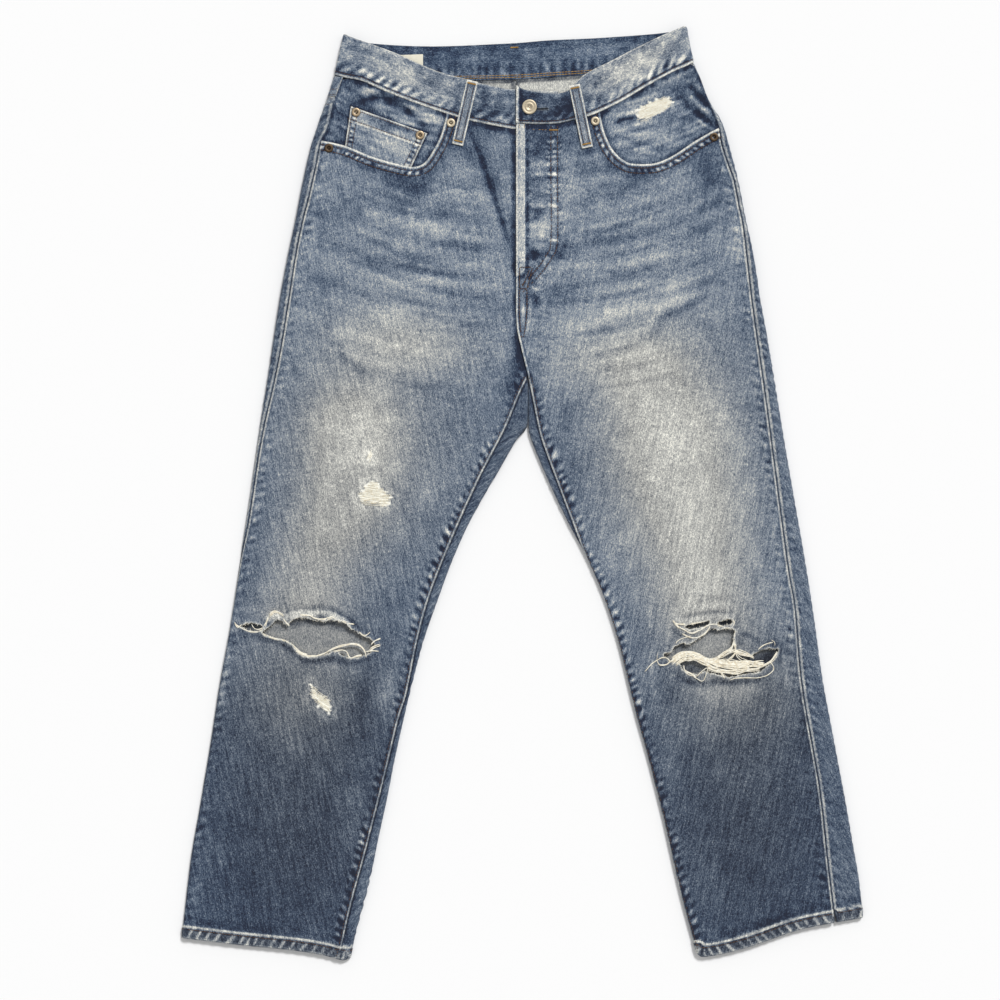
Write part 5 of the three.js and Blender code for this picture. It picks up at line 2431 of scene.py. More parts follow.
WORN_SPOTS = {
    Side.RIGHT: [
        [(-171.5, 1.5), (-167.5, 10), (-159, 12.5), (-151.5, 7), (-144, -0.5), (-140.5, -3.5),
         (-145, -12.5), (-152.5, -10), (-161, -9), (-167.5, -12.5), (-173, -8), (-175, -2.5)],
        [(-226.5, -205), (-222, -209), (-216.5, -214.5), (-207, -221), (-205, -227.5), (-205, -237),
         (-210.5, -232.5), (-215.5, -227.5), (-223, -221), (-226.5, -215.5)],
        [(-164, 44.5), (-162, 45.5), (-161, 40), (-163, 35), (-165.5, 38)],
    ],
    Side.LEFT: [
        [(123.5, 410), (132, 417), (143.5, 422), (158, 424.5), (159, 417), (149.5, 410), (142, 405.5),
         (133, 399.5), (124.5, 401)],
    ],
}
HIP_STREAKS = (((130, 11), 0.085, 161), ((90, 6), 0.11, 164), ((50, 3.6), 0.075, 167))
SPOT_LEANS = {Side.RIGHT: (-4.0, -32.0, 60.0), Side.LEFT: (24.0,)}

# Tone patches and grades of the front panels: fades where the dye has worn or stayed, and painted shade in
# the crotch fold, under the waistband, beside the fly and below the front belt loops' feet.
FADES_AND_SHADE: dict[Side, list[Mark]] = {
    Side.RIGHT: [
        Grade(175, 80, -0.06), Grade(-118, -285, -0.155), Grade(-268, -400, -0.05),
        Fade(-127, 160, 66, 30, 0.21, lean=-6, grey=0.5),
        Fade(-186, 72, 52, 56, 0.25, lean=-8, grey=0.7),
        Fade(-190, -8, 52, 56, 0.17, lean=-12, grey=0.6),
        Fade(-224, -70, 48, 50, 0.14, lean=-12, grey=0.5),
        Fade(-238, -130, 48, 38, 0.13, grey=0.5),
        Fade(-213, -190, 30, 26, 0.05),
        Fade(-150, -215, 26, 50, -0.06, lean=-14),
        Fade(-352, -430, 26, 70, 0.08, lean=-10), Fade(-372, -468, 30, 16, 0.06),
        Fade(-60, 375, 40, 20, -0.07), Fade(-110, 335, 34, 12, -0.10),
        Fade(-112, 327, 13, 9, -0.16), Fade(-200, 300, 14, 60, -0.03),
        Fade(-30, 392, 30, 8, -0.22), Fade(-2, 150, 8, 26, -0.30, lean=-12),
        Fade(-8, 112, 14, 22, -0.16), Fade(-90, 190, 60, 10, -0.03),
        Fade(-146, 222, 22, 16, 0.08, lean=-10), Fade(-182, 176, 18, 16, 0.07),
        Fade(-150, 100, 34, 42, 0.07, lean=-8), Fade(-136, 40, 30, 34, 0.09), Fade(-84, 20, 24, 30, 0.05),
        Fade(-250, -252, 18, 30, 0.08), Fade(-144, -212, 12, 26, 0.13), Fade(-182, -146, 42, 14, -0.05),
        Fade(-292, -84, 14, 26, -0.08), Fade(-122, 346, 26, 9, -0.07),
        Fade(-106, 258, 20, 14, -0.07), Fade(-216, 300, 10, 24, -0.05), Fade(-216, 218, 12, 16, -0.06),
        Fade(-142, 218, 18, 12, -0.04), Fade(-30, 346, 12, 18, -0.07), Fade(-216, 132, 14, 18, 0.05),
        Fade(-104, 4, 14, 20, 0.05), Fade(-142, -40, 16, 16, 0.04), Fade(-142, -254, 14, 20, 0.06),
        Fade(-180, -340, 16, 34, 0.08), Fade(-186, -380, 12, 20, 0.05), Fade(-216, -470, 14, 12, 0.06),
        Fade(-74, 418, 12, 14, -0.12), Fade(-58, 360, 5, 10, -0.18, lean=14),
        Fade(-104, 303, 18, 12, 0.10), Fade(-66, 346, 12, 16, 0.08), Fade(-28, 303, 12, 22, 0.09),
        Fade(-66, 303, 16, 14, 0.06), Fade(-180, 303, 20, 12, -0.09), Fade(-142, 303, 14, 10, -0.05),
        Fade(-66, 258, 18, 12, -0.07), Fade(-66, 218, 14, 12, -0.06), Fade(-104, 176, 16, 12, -0.08),
        Fade(-252, -126, 14, 12, -0.07), Fade(-142, -124, 14, 14, -0.07), Fade(-142, -168, 14, 12, -0.06),
        Fade(-216, -166, 16, 10, -0.06), Fade(-184, 4, 12, 14, -0.07),
        Fade(-142, 4, 10, 12, -0.06), Fade(-70, 374, 5, 10, -0.16, lean=14),
    ],
    Side.LEFT: [
        Grade(150, 40, -0.04), Grade(-150, -285, -0.17), Grade(-268, -400, -0.05),
        Fade(155, 62, 60, 82, 0.26, lean=8, grey=0.8),
        Fade(184, -45, 56, 72, 0.20, lean=10, grey=0.7),
        Fade(194, -130, 50, 52, 0.17, lean=8, grey=0.6),
        Fade(86, 146, 62, 28, 0.12, lean=10, grey=0.3),
        Fade(130, 130, 40, 30, 0.08, lean=20, grey=0.5),
        Fade(245, 120, 40, 70, -0.05, lean=8),
        Fade(203, 344, 15, 24, -0.13), Fade(92, 372, 13, 20, 0.08, lean=-16),
        Fade(18, 372, 15, 14, -0.11), Fade(16.5, 303.5, 10, 7, -0.18), Fade(15, 324.5, 10, 6, -0.14),
        Fade(20, 281, 15, 16, 0.22, lean=30, rise=0.5), Fade(17, 256, 15, 5.5, -0.36, rise=-0.4),
        Fade(20, 340, 26, 66, 0.0, crush=1.3), Fade(12, 240, 16, 40, 0.0, crush=1.0),
        Fade(22, 352, 12, 5, 0.10), Fade(14, 366, 8, 4, -0.12), Fade(22, 326, 8, 4, 0.08),
        Fade(16, 296, 9, 4, -0.16, lean=30), Fade(34, 262, 5, 9, -0.14), Fade(46, 346, 5, 24, 0.10),
        Fade(20, 345, 12, 60, -0.04), Fade(30, 206, 20, 12, -0.08, lean=20),
        Fade(236, -190, 40, 14, 0.04), Fade(196, -226, 44, 20, 0.06),
        Fade(128, -300, 18, 90, -0.04, lean=12),
        Fade(46, 303, 13, 22, 0.08), Fade(84, 216, 18, 14, 0.07), Fade(160, 220, 20, 15, 0.10, lean=12),
        Fade(232, 262, 14, 22, 0.10), Fade(48, 172, 18, 14, 0.08), Fade(120, 134, 20, 13, -0.08),
        Fade(214, 76, 28, 44, 0.08, lean=6), Fade(228, 0, 20, 26, 0.06),
        Fade(100, -60, 18, 36, 0.07, lean=24),
        Fade(234, -60, 14, 34, 0.05), Fade(140, -146, 24, 16, -0.06), Fade(214, -212, 24, 10, 0.06),
        Fade(306, -232, 12, 34, -0.07), Fade(162, -360, 14, 110, 0.06, lean=12),
        Fade(196, 346, 16, 22, -0.14), Fade(122, 345, 22, 7, -0.10), Fade(8, 236, 7, 16, -0.10),
        Fade(12, 108, 9, 26, -0.14), Fade(46, 42, 12, 34, -0.10, lean=34),
        Fade(42, 388, 20, 22, -0.17), Fade(46, 344, 16, 18, -0.08), Fade(84, 346, 18, 8, -0.08),
        Fade(122, 336, 20, 8, -0.06), Fade(8, 216, 9, 16, -0.12), Fade(84, 304, 16, 12, 0.06),
        Fade(122, 258, 20, 14, 0.08), Fade(160, 216, 18, 14, 0.05), Fade(236, 132, 14, 18, 0.07),
        Fade(14, 88, 10, 18, -0.08), Fade(48, 88, 12, 14, -0.09), Fade(48, 4, 10, 18, -0.12),
        Fade(236, 44, 14, 18, 0.06), Fade(272, 46, 10, 22, -0.08), Fade(124, -40, 16, 20, 0.05),
        Fade(124, -168, 12, 12, -0.08), Fade(272, -168, 14, 16, -0.12), Fade(196, -208, 16, 14, 0.09),
        Fade(162, -254, 14, 18, 0.10), Fade(198, -254, 16, 16, 0.06), Fade(310, -232, 10, 24, -0.07),
        Fade(158, -296, 14, 16, 0.06), Fade(198, -420, 16, 24, 0.07), Fade(200, -468, 14, 12, 0.09),
        Fade(272, -468, 14, 12, -0.10),
        Fade(20, 392, 16, 12, -0.10), Fade(8, 389, 8, 14, -0.10), Fade(46, 303, 12, 14, 0.05),
        Fade(46, 260, 12, 14, -0.06), Fade(122, 260, 16, 12, -0.07), Fade(158, 260, 14, 12, -0.05),
        Fade(8, 132, 8, 16, -0.08), Fade(236, 176, 14, 14, -0.07), Fade(198, 176, 14, 12, -0.05),
        Fade(236, -210, 14, 12, 0.05), Fade(272, -166, 12, 12, -0.06), Fade(310, -210, 12, 16, -0.06),
        Fade(196, -382, 12, 20, 0.05), Fade(272, -466, 14, 12, -0.08), Fade(160, 4, 12, 40, -0.03),
        Fade(46, 430, 20, 8, -0.10), Fade(236, 0, 12, 16, 0.05), Fade(84, 132, 14, 14, -0.05),
        Fade(70, 366, 6, 5, -0.22), Fade(198, 50, 12, 12, 0.04), Fade(158, 348, 14, 8, 0.06),
    ],
}
# Marks on the back panels' inner face where it shows through the knee rips: painted shadow under the rips'
# upper edges, with a fine weave texture.
BEHIND_RIPS: dict[Side, list[Mark]] = {
    Side.RIGHT: [
        Crease(((-272, -146), (-250, -142), (-232, -138), (-205, -140), (-180, -151), (-160, -164)),
               3.4, 0.0, -0.22),
        Fade(-292, -142, 14, 5, -0.30), Fade(-178, -178, 12, 5, -0.16), Fade(-236, -158, 22, 8, -0.03),
        Cloud((2.6, 14), 0.0, 0.03, 151), Cloud((14, 2.6), 0.0, 0.03, 153),
    ],
    Side.LEFT: [
        Fade(263, -177, 17, 8, -0.46, lean=14), Fade(236, -181, 16, 5, -0.24), Fade(180, -188, 15, 7, -0.26),
        Fade(168, -166, 12, 5, -0.18, lean=24), Fade(186, -140, 12, 4, -0.26), Fade(217, -138, 9, 4, -0.40),
        Crease(((178, -160), (192, -150), (208, -146), (228, -146), (229, -166)), 3.0, 0.0, -0.16),
        Cloud((2.6, 14), 0.0, 0.03, 155), Cloud((14, 2.6), 0.0, 0.03, 157),
    ],
}
BACK_FADES = {
    Side.RIGHT: [Fade(-110, 300, 80, 90, 0.09), Fade(-150, 60, 70, 110, 0.12, lean=-12),
                 Fade(-235, -150, 70, 70, 0.08), Fade(-330, 200, 40, 160, 0.10)],
    Side.LEFT: [Fade(105, 300, 80, 90, 0.09), Fade(150, 60, 70, 110, 0.12, lean=12),
                Fade(235, -150, 70, 70, 0.08), Fade(330, 150, 50, 260, 0.08)],
}


def fold_wear_and_shading(width: float, tone: float, *points: Point, rise: float = 0.0) -> Crease:
    """A fold worn pale or left dark where the hip bends; its dark is partly unworn dye and partly painted
    shade.

    Args:
        width: Its half-width, before it is softened.
        tone: What it adds to the tone.
        points: Its line.
        rise: Its height, or 0 for one that goes with its tone.

    Returns:
        The fold, with paler cloth beside a broad dark one.
    """
    paler = -0.4 * tone if width > 2.5 and tone < 0 else 0.0
    return Crease(tuple(points), 1.25 * width, rise or 2.4 * tone, tone, paler)


# Whiskers across the hips: pale worn folds, and dark folds that are partly unworn dye and partly painted
# shade. The right panel's fold from the belt loop down to the fly and one long curved fold low on each hip
# are painted shadow.
WHISKERS_AND_FOLD_SHADE: dict[Side, list[Mark]] = {
    Side.RIGHT: [
        fold_wear_and_shading(5, -0.11, (-155, 344), (-136, 333), (-120, 327), (-100, 322)),
        fold_wear_and_shading(4, -0.09, (-197, 315), (-179, 307), (-165, 299)),
        fold_wear_and_shading(3.6, -0.10, (-154, 315), (-131, 303), (-110, 297), (-83, 296), (-70, 297)),
        fold_wear_and_shading(3.5, -0.06, (-174, 291), (-158, 284), (-136, 279), (-115, 278)),
        fold_wear_and_shading(4.2, -0.12, (-118, 268), (-78, 267), (-45, 265), (-9, 267)),
        fold_wear_and_shading(2.8, -0.10, (-187, 281), (-163, 269), (-136, 258), (-110, 252), (-83, 250), (-62, 248)),
        fold_wear_and_shading(2.6, -0.08, (-138, 247), (-110, 239), (-88, 237), (-56, 234), (-22, 236)),
        fold_wear_and_shading(3.8, -0.11, (-120, 223), (-88, 217), (-62, 211), (-15, 207)),
        fold_wear_and_shading(4, -0.07, (-196, 253), (-179, 243), (-168, 238)),
        fold_wear_and_shading(3.6, -0.08, (-133, 194), (-99, 190), (-67, 181), (-20, 176)),
        fold_wear_and_shading(2.6, -0.05, (-99, 177), (-67, 173), (-17, 170)),
        fold_wear_and_shading(2.6, -0.08, (-80, 152), (-45, 149), (-17, 147)),
        fold_wear_and_shading(2.8, 0.07, (-203, 294), (-174, 280), (-153, 273)),
        fold_wear_and_shading(4, 0.05, (-138, 287), (-99, 284), (-65, 280)),
        fold_wear_and_shading(3.4, 0.05, (-128, 228), (-88, 227), (-40, 223)),
        fold_wear_and_shading(3.4, 0.04, (-160, 262), (-120, 264), (-80, 257)),
        fold_wear_and_shading(4.2, -0.12, (-213, 166), (-195, 151), (-185, 141), (-169, 130), (-148, 125)),
        fold_wear_and_shading(3, -0.06, (-135, 118), (-110, 115), (-86, 111)),
        fold_wear_and_shading(3, -0.05, (-228, 330), (-214, 290), (-222, 240)),
        fold_wear_and_shading(2.2, -0.40, (-60, 400), (-47.5, 367.5), (-39, 344), (-30.5, 318.5), (-22, 290.5), (-9, 250),
                rise=-1.2),
        fold_wear_and_shading(6.0, -0.10, (-60, 400), (-45, 367), (-36, 344), (-27, 318), (-18, 290), (-8, 250)),
    ],
    Side.LEFT: [
        fold_wear_and_shading(4.2, -0.12, (62, 316), (83, 327), (104, 330), (130, 335)),
        fold_wear_and_shading(4.6, -0.13, (57, 268), (81, 276), (99, 282), (125, 292)),
        fold_wear_and_shading(3.0, -0.11, (88, 232), (104, 236), (120, 239), (136, 243), (160, 251)),
        fold_wear_and_shading(4.2, -0.09, (183, 300), (203, 311), (226, 318)),
        fold_wear_and_shading(4.0, -0.10, (175, 278), (194, 284), (219, 295)),
        fold_wear_and_shading(3.2, -0.06, (145, 257), (179, 265), (205, 262)),
        fold_wear_and_shading(3.6, -0.06, (77, 259), (104, 257), (133, 262)),
        fold_wear_and_shading(3.2, -0.07, (94, 218), (126, 216), (144, 222)),
        fold_wear_and_shading(3.4, -0.08, (167, 212), (190, 222), (208, 229)),
        fold_wear_and_shading(3.9, -0.19, (124, 160), (142, 175), (151, 188), (169, 196), (190, 207), (212, 212)),
        fold_wear_and_shading(3.4, -0.10, (57, 138), (83, 147), (110, 154), (133, 165)),
        fold_wear_and_shading(4.0, -0.05, (22, 202), (51, 207), (83, 211), (128, 212)),
        fold_wear_and_shading(6.0, -0.12, (8, 212), (40, 218), (72, 223), (92, 226)),
        fold_wear_and_shading(3.4, -0.07, (65, 169), (83, 175), (104, 180)),
        fold_wear_and_shading(4.2, 0.10, (50, 306), (54, 335), (52, 362)),
        fold_wear_and_shading(4.6, 0.06, (30, 171), (72, 184), (104, 190), (142, 197), (178, 211)),
        fold_wear_and_shading(4.4, 0.05, (80, 309), (126, 312), (155, 327)),
        fold_wear_and_shading(4.4, 0.04, (95, 246), (130, 251), (170, 262)),
        fold_wear_and_shading(4.4, -0.15, (39, 246), (42, 261), (48, 273)),
        fold_wear_and_shading(3.2, -0.07, (120, 118), (150, 124), (186, 122)),
        fold_wear_and_shading(3.0, -0.06, (190, 330), (212, 338), (224, 330)),
    ],
}
# Marks round the knee rips: pale rolled bands of frayed wear and dark creases along the holes. Among them the
# right panel's dark slit and the left panel's dark crease below its hole are painted shadow, and the last
# mark of the right panel is painted shadow in the fold at the crotch.
RIP_MARKS: dict[Side, list[Mark]] = {
    Side.RIGHT: [
        Strip(smooth([(-273, -135), (-264, -130.5), (-253, -132), (-245, -130), (-235, -128), (-221, -129),
                      (-206, -129.5), (-197, -133.5), (-187, -139)], 3), 0, 3.4, rise=0.5, toward=0.80,
              strength=0.9, soft=1.0, rough=0.5, seed=141),
        Fade(-265, -129, 6, 4, 0.3, grey=0.8, rise=0.6),
        fold_wear_and_shading(2.2, -0.17, (-248, -127.5), (-238, -123.5), (-227, -122.5), (-216, -121.5), (-206, -123.5),
                (-195, -129), (-184, -137), (-174, -145), (-159, -149), rise=-0.5),
        # Painted shadow standing for a narrow slit.
        fold_wear_and_shading(1.6, -0.24, (-224, -129.5), (-216.5, -132), (-210.5, -131), (-204, -129.5), rise=-0.6),
        fold_wear_and_shading(2.4, -0.19, (-301, -149.5), (-286, -151.5), (-272, -157), (-259, -161), (-246, -169),
                (-235, -178), (-221, -180), (-210, -178), (-197, -179), (-182, -181), (-167, -177),
                (-150, -170), rise=-0.6),
        fold_wear_and_shading(2.6, -0.08, (-280, -133), (-272, -141), (-276, -150)),
        Fade(-172, -210, 12, 40, -0.09, lean=-4),
        fold_wear_and_shading(2.0, 0.10, (-311, -150), (-318, -190), (-326, -240)),
        fold_wear_and_shading(3.0, 0.07, (-130, -150), (-142, -200), (-150, -240)),
        # Painted shadow in the fold at the crotch.
        Crease(((-9, 176), (-3, 158), (1, 142), (4, 118)), 4.5, -1.0, -0.46),
    ],
    Side.LEFT: [
        fold_wear_and_shading(2.3, -0.18, (160, -133), (179, -131), (195, -128), (211, -127), (229, -126.5), rise=-0.5),
        Strip(smooth([(165, -136.5), (181, -135.5), (197, -132.5), (211, -131.5), (225, -132.5)], 3),
              0, 2.6, rise=0.5, toward=0.74, strength=0.8, soft=1.0, rough=0.4, seed=143),
        Strip(smooth([(232, -155), (242, -158), (250, -163)], 3), 0, 6.0, rise=0.6, toward=0.45,
              strength=0.8, soft=1.4, seed=145),
        fold_wear_and_shading(2.0, -0.2, (231, -150), (242, -151), (251, -158), (257, -163), rise=-0.4),
        # Painted shadow below the hole's yarns.
        fold_wear_and_shading(2.4, -0.20, (155, -186), (168, -198), (188, -204), (206, -202), (227, -202), (256, -199),
                (270, -190), rise=-0.6),
        fold_wear_and_shading(2.2, -0.14, (156, -141), (168, -151), (177, -154), rise=-0.4),
        fold_wear_and_shading(1.6, 0.12, (134, -118), (136, -135), (138, -150)),
        fold_wear_and_shading(1.6, 0.12, (138, -160), (139, -190), (141, -225)),
        fold_wear_and_shading(1.3, 0.13, (276, -150), (281, -185), (285, -220)),
        fold_wear_and_shading(3.4, -0.08, (180, -120), (200, -112), (236, -112)),
        Fade(262, -216, 16, 26, -0.05), Fade(160, -215, 16, 30, -0.07, lean=10),
    ],
}
FLY_LINE = evenly([(FLY_EDGE, 396.0), (FLY_EDGE, 242.0)], 8)
CENTRE_LOW = smooth([(-7, 244), (-7, 228), (-6.5, 182), (-2, 158), (3.5, 136), (6, 126)], 6)
# Marks of the fly. On the right front, dark bands along the lapped edge and the centre seam are painted
# shadow. On the left front: a worn pale placket and pale spots worn over the hidden buttons, dark stitch
# lines, painted shade beside the placket and under the last button, and a painted highlight on a ridge by the
# J-stitch.
FLY: dict[Side, list[Mark]] = {
    Side.RIGHT: [
        # Painted shadow beside the lapped fly edge and along the centre seam below it.
        Strip(FLY_LINE, 0, 4.6, rise=-0.8, tone=-0.34, soft=2.6, rough=0.5),
        Strip(CENTRE_LOW, 0, 3.4, rise=-0.7, tone=-0.27, soft=1.8),
    ],
    Side.LEFT: [
        Strip(FLY_LINE, 0, 9.4, rise=0.8, toward=0.75, strength=0.92, soft=0.7, seed=131, rough=0.2),
        Seam(FLY_LINE, rise=0, width=1, pitch=3.3, contrast=0.06, pucker=0.1, start=1, stop=9, lean=0.8,
             roll=0.4, edge=0.86, edge_width=1.0, edge_at=0.9, seed=132),
        Strip(FLY_LINE, 8.3, 9.6, toward=0.82, strength=0.8, soft=0.5, seed=133),
        # Painted shade beside the placket.
        Strip(FLY_LINE, 10.4, 14.0, rise=-0.3, tone=-0.26, soft=1.2, seed=134, rough=0.5),
        Strip(CENTRE_LOW, 0.4, 1.9, rise=0.2, toward=0.84, strength=0.9, soft=0.5, seed=135),
        Strip(CENTRE_LOW, 2.4, 3.6, rise=-0.3, tone=-0.2, soft=0.6, seed=136),
        fold_wear_and_shading(1.4, 0.26, (7.8, 215), (8.0, 198), (6.4, 183), (3.5, 166), rise=0.2),
        *[fold_wear_and_shading(0.9, -0.26, *line, rise=-0.2) for line in (*CENTRE_ROWS, *CROTCH_BOX)],
        # Painted shadow under the last hidden button.
        fold_wear_and_shading(2.8, -0.20, (8, 262), (13, 256), (12, 246)),
        fold_wear_and_shading(3.0, -0.20, (14, 215), (15, 206), (12, 195)),
        # Painted highlight on a ridge by the J-stitch.
        fold_wear_and_shading(1.5, 0.22, (28, 257), (24, 249), (19, 240), rise=0.3),
        fold_wear_and_shading(1.3, 0.22, (9, 221), (14, 218.5), (19, 218), rise=0.2),
        fold_wear_and_shading(1.5, 0.14, (1, 206), (1, 190), (0.5, 176), rise=0.2),
        fold_wear_and_shading(1.6, 0.20, (1.6, 222), (1.4, 200), (1.0, 176), rise=0.2),
        fold_wear_and_shading(2.4, -0.16, (3, 236), (3, 215), (3, 190), (0, 172)),
        fold_wear_and_shading(1.2, 0.24, (4, 240), (4, 225), (3, 214), rise=0.2),
        *[fold_wear_and_shading(1.3, 0.22, (6, y), (18, y + 0.5), (31, y), rise=0.3) for y in (341, 307.5)],
        *[fold_wear_and_shading(1.3, 0.30, (26, y), (33, y), (40, y), rise=0.3) for y in (376, 341, 307.5, 271)],
        *[fold_wear_and_shading(1.7, -0.13, (6, y - 4.5), (18, y - 4), (34, y - 4)) for y in (341, 307.5, 274)],
        *[fold_wear_and_shading(0.9, -0.15, *curve) for curve in (FLY_CURVE_INNER, FLY_CURVE_OUTER)],
        Seam(smooth(FLY_CURVE_INNER, 4), rise=0.2, width=2.4, rows=(0.0,), pitch=7, contrast=0.16,
             pucker=0.15, start=1, stop=4.5, roll=0, seed=137),
        Seam(smooth(FLY_CURVE_OUTER, 4), rise=0.2, width=2.4, rows=(0.0,), pitch=7, contrast=0.14,
             pucker=0.15, start=1, stop=4.5, roll=0, seed=139),
        fold_wear_and_shading(1.6, 0.13, (34, 388), (34.5, 340), (34.5, 280), rise=0.1),
        fold_wear_and_shading(2.0, 0.12, (48, 246), (36, 232), (24, 220), rise=0.15),
        fold_wear_and_shading(2.0, -0.10, (26, 252), (16, 240), (8, 228), rise=-0.15),
    ],
}
# Marks of the pocket facings. On the right one, the dark arched crease above the coin pocket is painted
# shadow of a fold, and the dark strips along the coin pocket's edges are painted shadow beside it. On the
# left one, the dark and pale wrinkle pairs near the side seam are painted shade and painted highlight.
FACING_MARKS: dict[Side, list[Mark]] = {
    Side.RIGHT: [
        # Painted shadow of a fold arched above the coin pocket.
        Crease(((-186, 416), (-163, 424), (-136, 417), (-112, 399), (-89, 379)), 3.8, -0.9, -0.36, 0.12),
        # Painted shadow beside the coin pocket's edges.
        *[Strip(evenly([COIN_POCKET[a], COIN_POCKET[b]], 4), 0, 1.8, rise=-0.2, tone=-0.26, soft=1.2,
                seed=121 + a) for a, b in ((0, 1), (1, 2), (3, 0))],
        Fade(-105, 412, 34, 9, 0.14, lean=-20), Fade(-192, 400, 9, 34, -0.14),
        Fade(-150, 436, 30, 5, -0.16, lean=-18), Fade(-98, 398, 8, 10, -0.12),
        fold_wear_and_shading(1.8, -0.20, (-184, 408), (-172, 420), (-150, 424), (-128, 415), (-106, 399)),
        fold_wear_and_shading(1.8, 0.16, (-104, 408), (-94, 402), (-88, 392)),
        fold_wear_and_shading(2.2, 0.16, (-178, 432), (-150, 431), (-120, 424)),
        fold_wear_and_shading(2.0, -0.10, (-170, 410), (-140, 407), (-118, 396)),
    ],
    Side.LEFT: [
        Fade(118, 408, 26, 14, 0.09), Fade(150, 385, 44, 13, 0.11, lean=12), Fade(150, 366, 40, 6, -0.08),
        Crease(((97, 394), (106, 400), (126, 404)), 2.4, -0.6, -0.50, 0.10),
        Fade(104, 418, 16, 7, 0.12, lean=30), Fade(165, 400, 26, 5, -0.10, lean=10),
        Fade(158, 388, 18, 10, -0.12), Fade(122, 432, 14, 6, 0.10, lean=20),
        Fade(196, 410, 8, 34, -0.12, lean=20), Fade(172, 432, 22, 6, -0.14, lean=36),
        # Painted shade and highlight on short wrinkles near the side seam.
        fold_wear_and_shading(2.6, -0.36, (176, 440), (190, 425), (204, 408)),
        fold_wear_and_shading(2.4, -0.34, (182, 416), (194, 402), (208, 393)),
        fold_wear_and_shading(2.2, -0.24, (168, 428), (182, 410), (200, 396)),
        fold_wear_and_shading(2.2, 0.30, (176, 430), (190, 415), (206, 402)),
        fold_wear_and_shading(1.6, 0.26, (184, 404), (196, 394), (208, 388)),
        fold_wear_and_shading(2.0, -0.10, (100, 385), (120, 376), (150, 371)),
        fold_wear_and_shading(2.2, 0.10, (112, 372), (140, 364), (166, 368)),
    ],
}


def band_wear_and_shade(ribbon: Ribbon) -> list[Mark]:
    """Wear along the waistband, and painted shadow beside the front belt loops and under the band's top fold
    at the fly.

    Args:
        ribbon: The strip that the band lies on.

    Returns:
        The worn patches and the dark ones, some of them painted shadow, by their distance along it.
    """
    right = ribbon.along(-120, 443, True)
    left = ribbon.along(118, 452, True)
    fly = ribbon.along(10, 413, True)
    under = ribbon.along(-28, 414, True)
    return [
        Fade(right, 24, 70, 18, 0.09, grey=0.2), Fade(left, 26, 60, 16, 0.12, grey=0.45),
        Fade(right - 24, 26, 26, 22, -0.16), Fade(right + 52, 16, 22, 18, -0.04),
        Fade(right, 12, 30, 10, 0.08), Fade(left, 12, 26, 12, 0.14), Fade(left + 30, 14, 12, 8, 0.08),
        Fade(fly - 36, 26, 10, 20, -0.12), Fade(left + 40, 24, 16, 16, -0.07),
        # Dark patches at the fly, the upper one painted shade below the band's top fold.
        Fade(fly, 18, 30, 30, -0.25), Fade(fly, 33, 30, 6, -0.12), Fade(fly - 16, 22, 7, 10, 0.10),
        Fade(fly + 6, 10, 5, 5, 0.14), Fade(fly - 34, 18, 12, 30, -0.15), Fade(under, 20, 24, 26, -0.17),
        Fade(under + 14, 20, 5, 22, -0.16), Fade(fly - 39, 20, 5, 22, -0.16),
        # Painted shadow on the band beside each front belt loop.
        *[Fade(loop + side, 16, 3.5, 22, -0.16)
          for loop in (ribbon.along(-61, 420, True), ribbon.along(62, 420, True)) for side in (-8, 8)],
        Fade(right + 66, 20, 18, 30, -0.10), Fade(left - 60, 12, 20, 8, -0.06),
    ]


# ---------------------------------------------------------------------------- the rips' threads

@dataclass(frozen=True)
class Strand:
    """One bare yarn or a loose bundle of them.

    Attributes:
        points: The places that it passes, with its height at each.
        radius: A yarn's radius.
        count: How many yarns follow it.
        spread: How far they stray.
    """

    points: tuple[Point, ...]
    radius: float = 0.45
    count: int = 1
    spread: float = 0.0


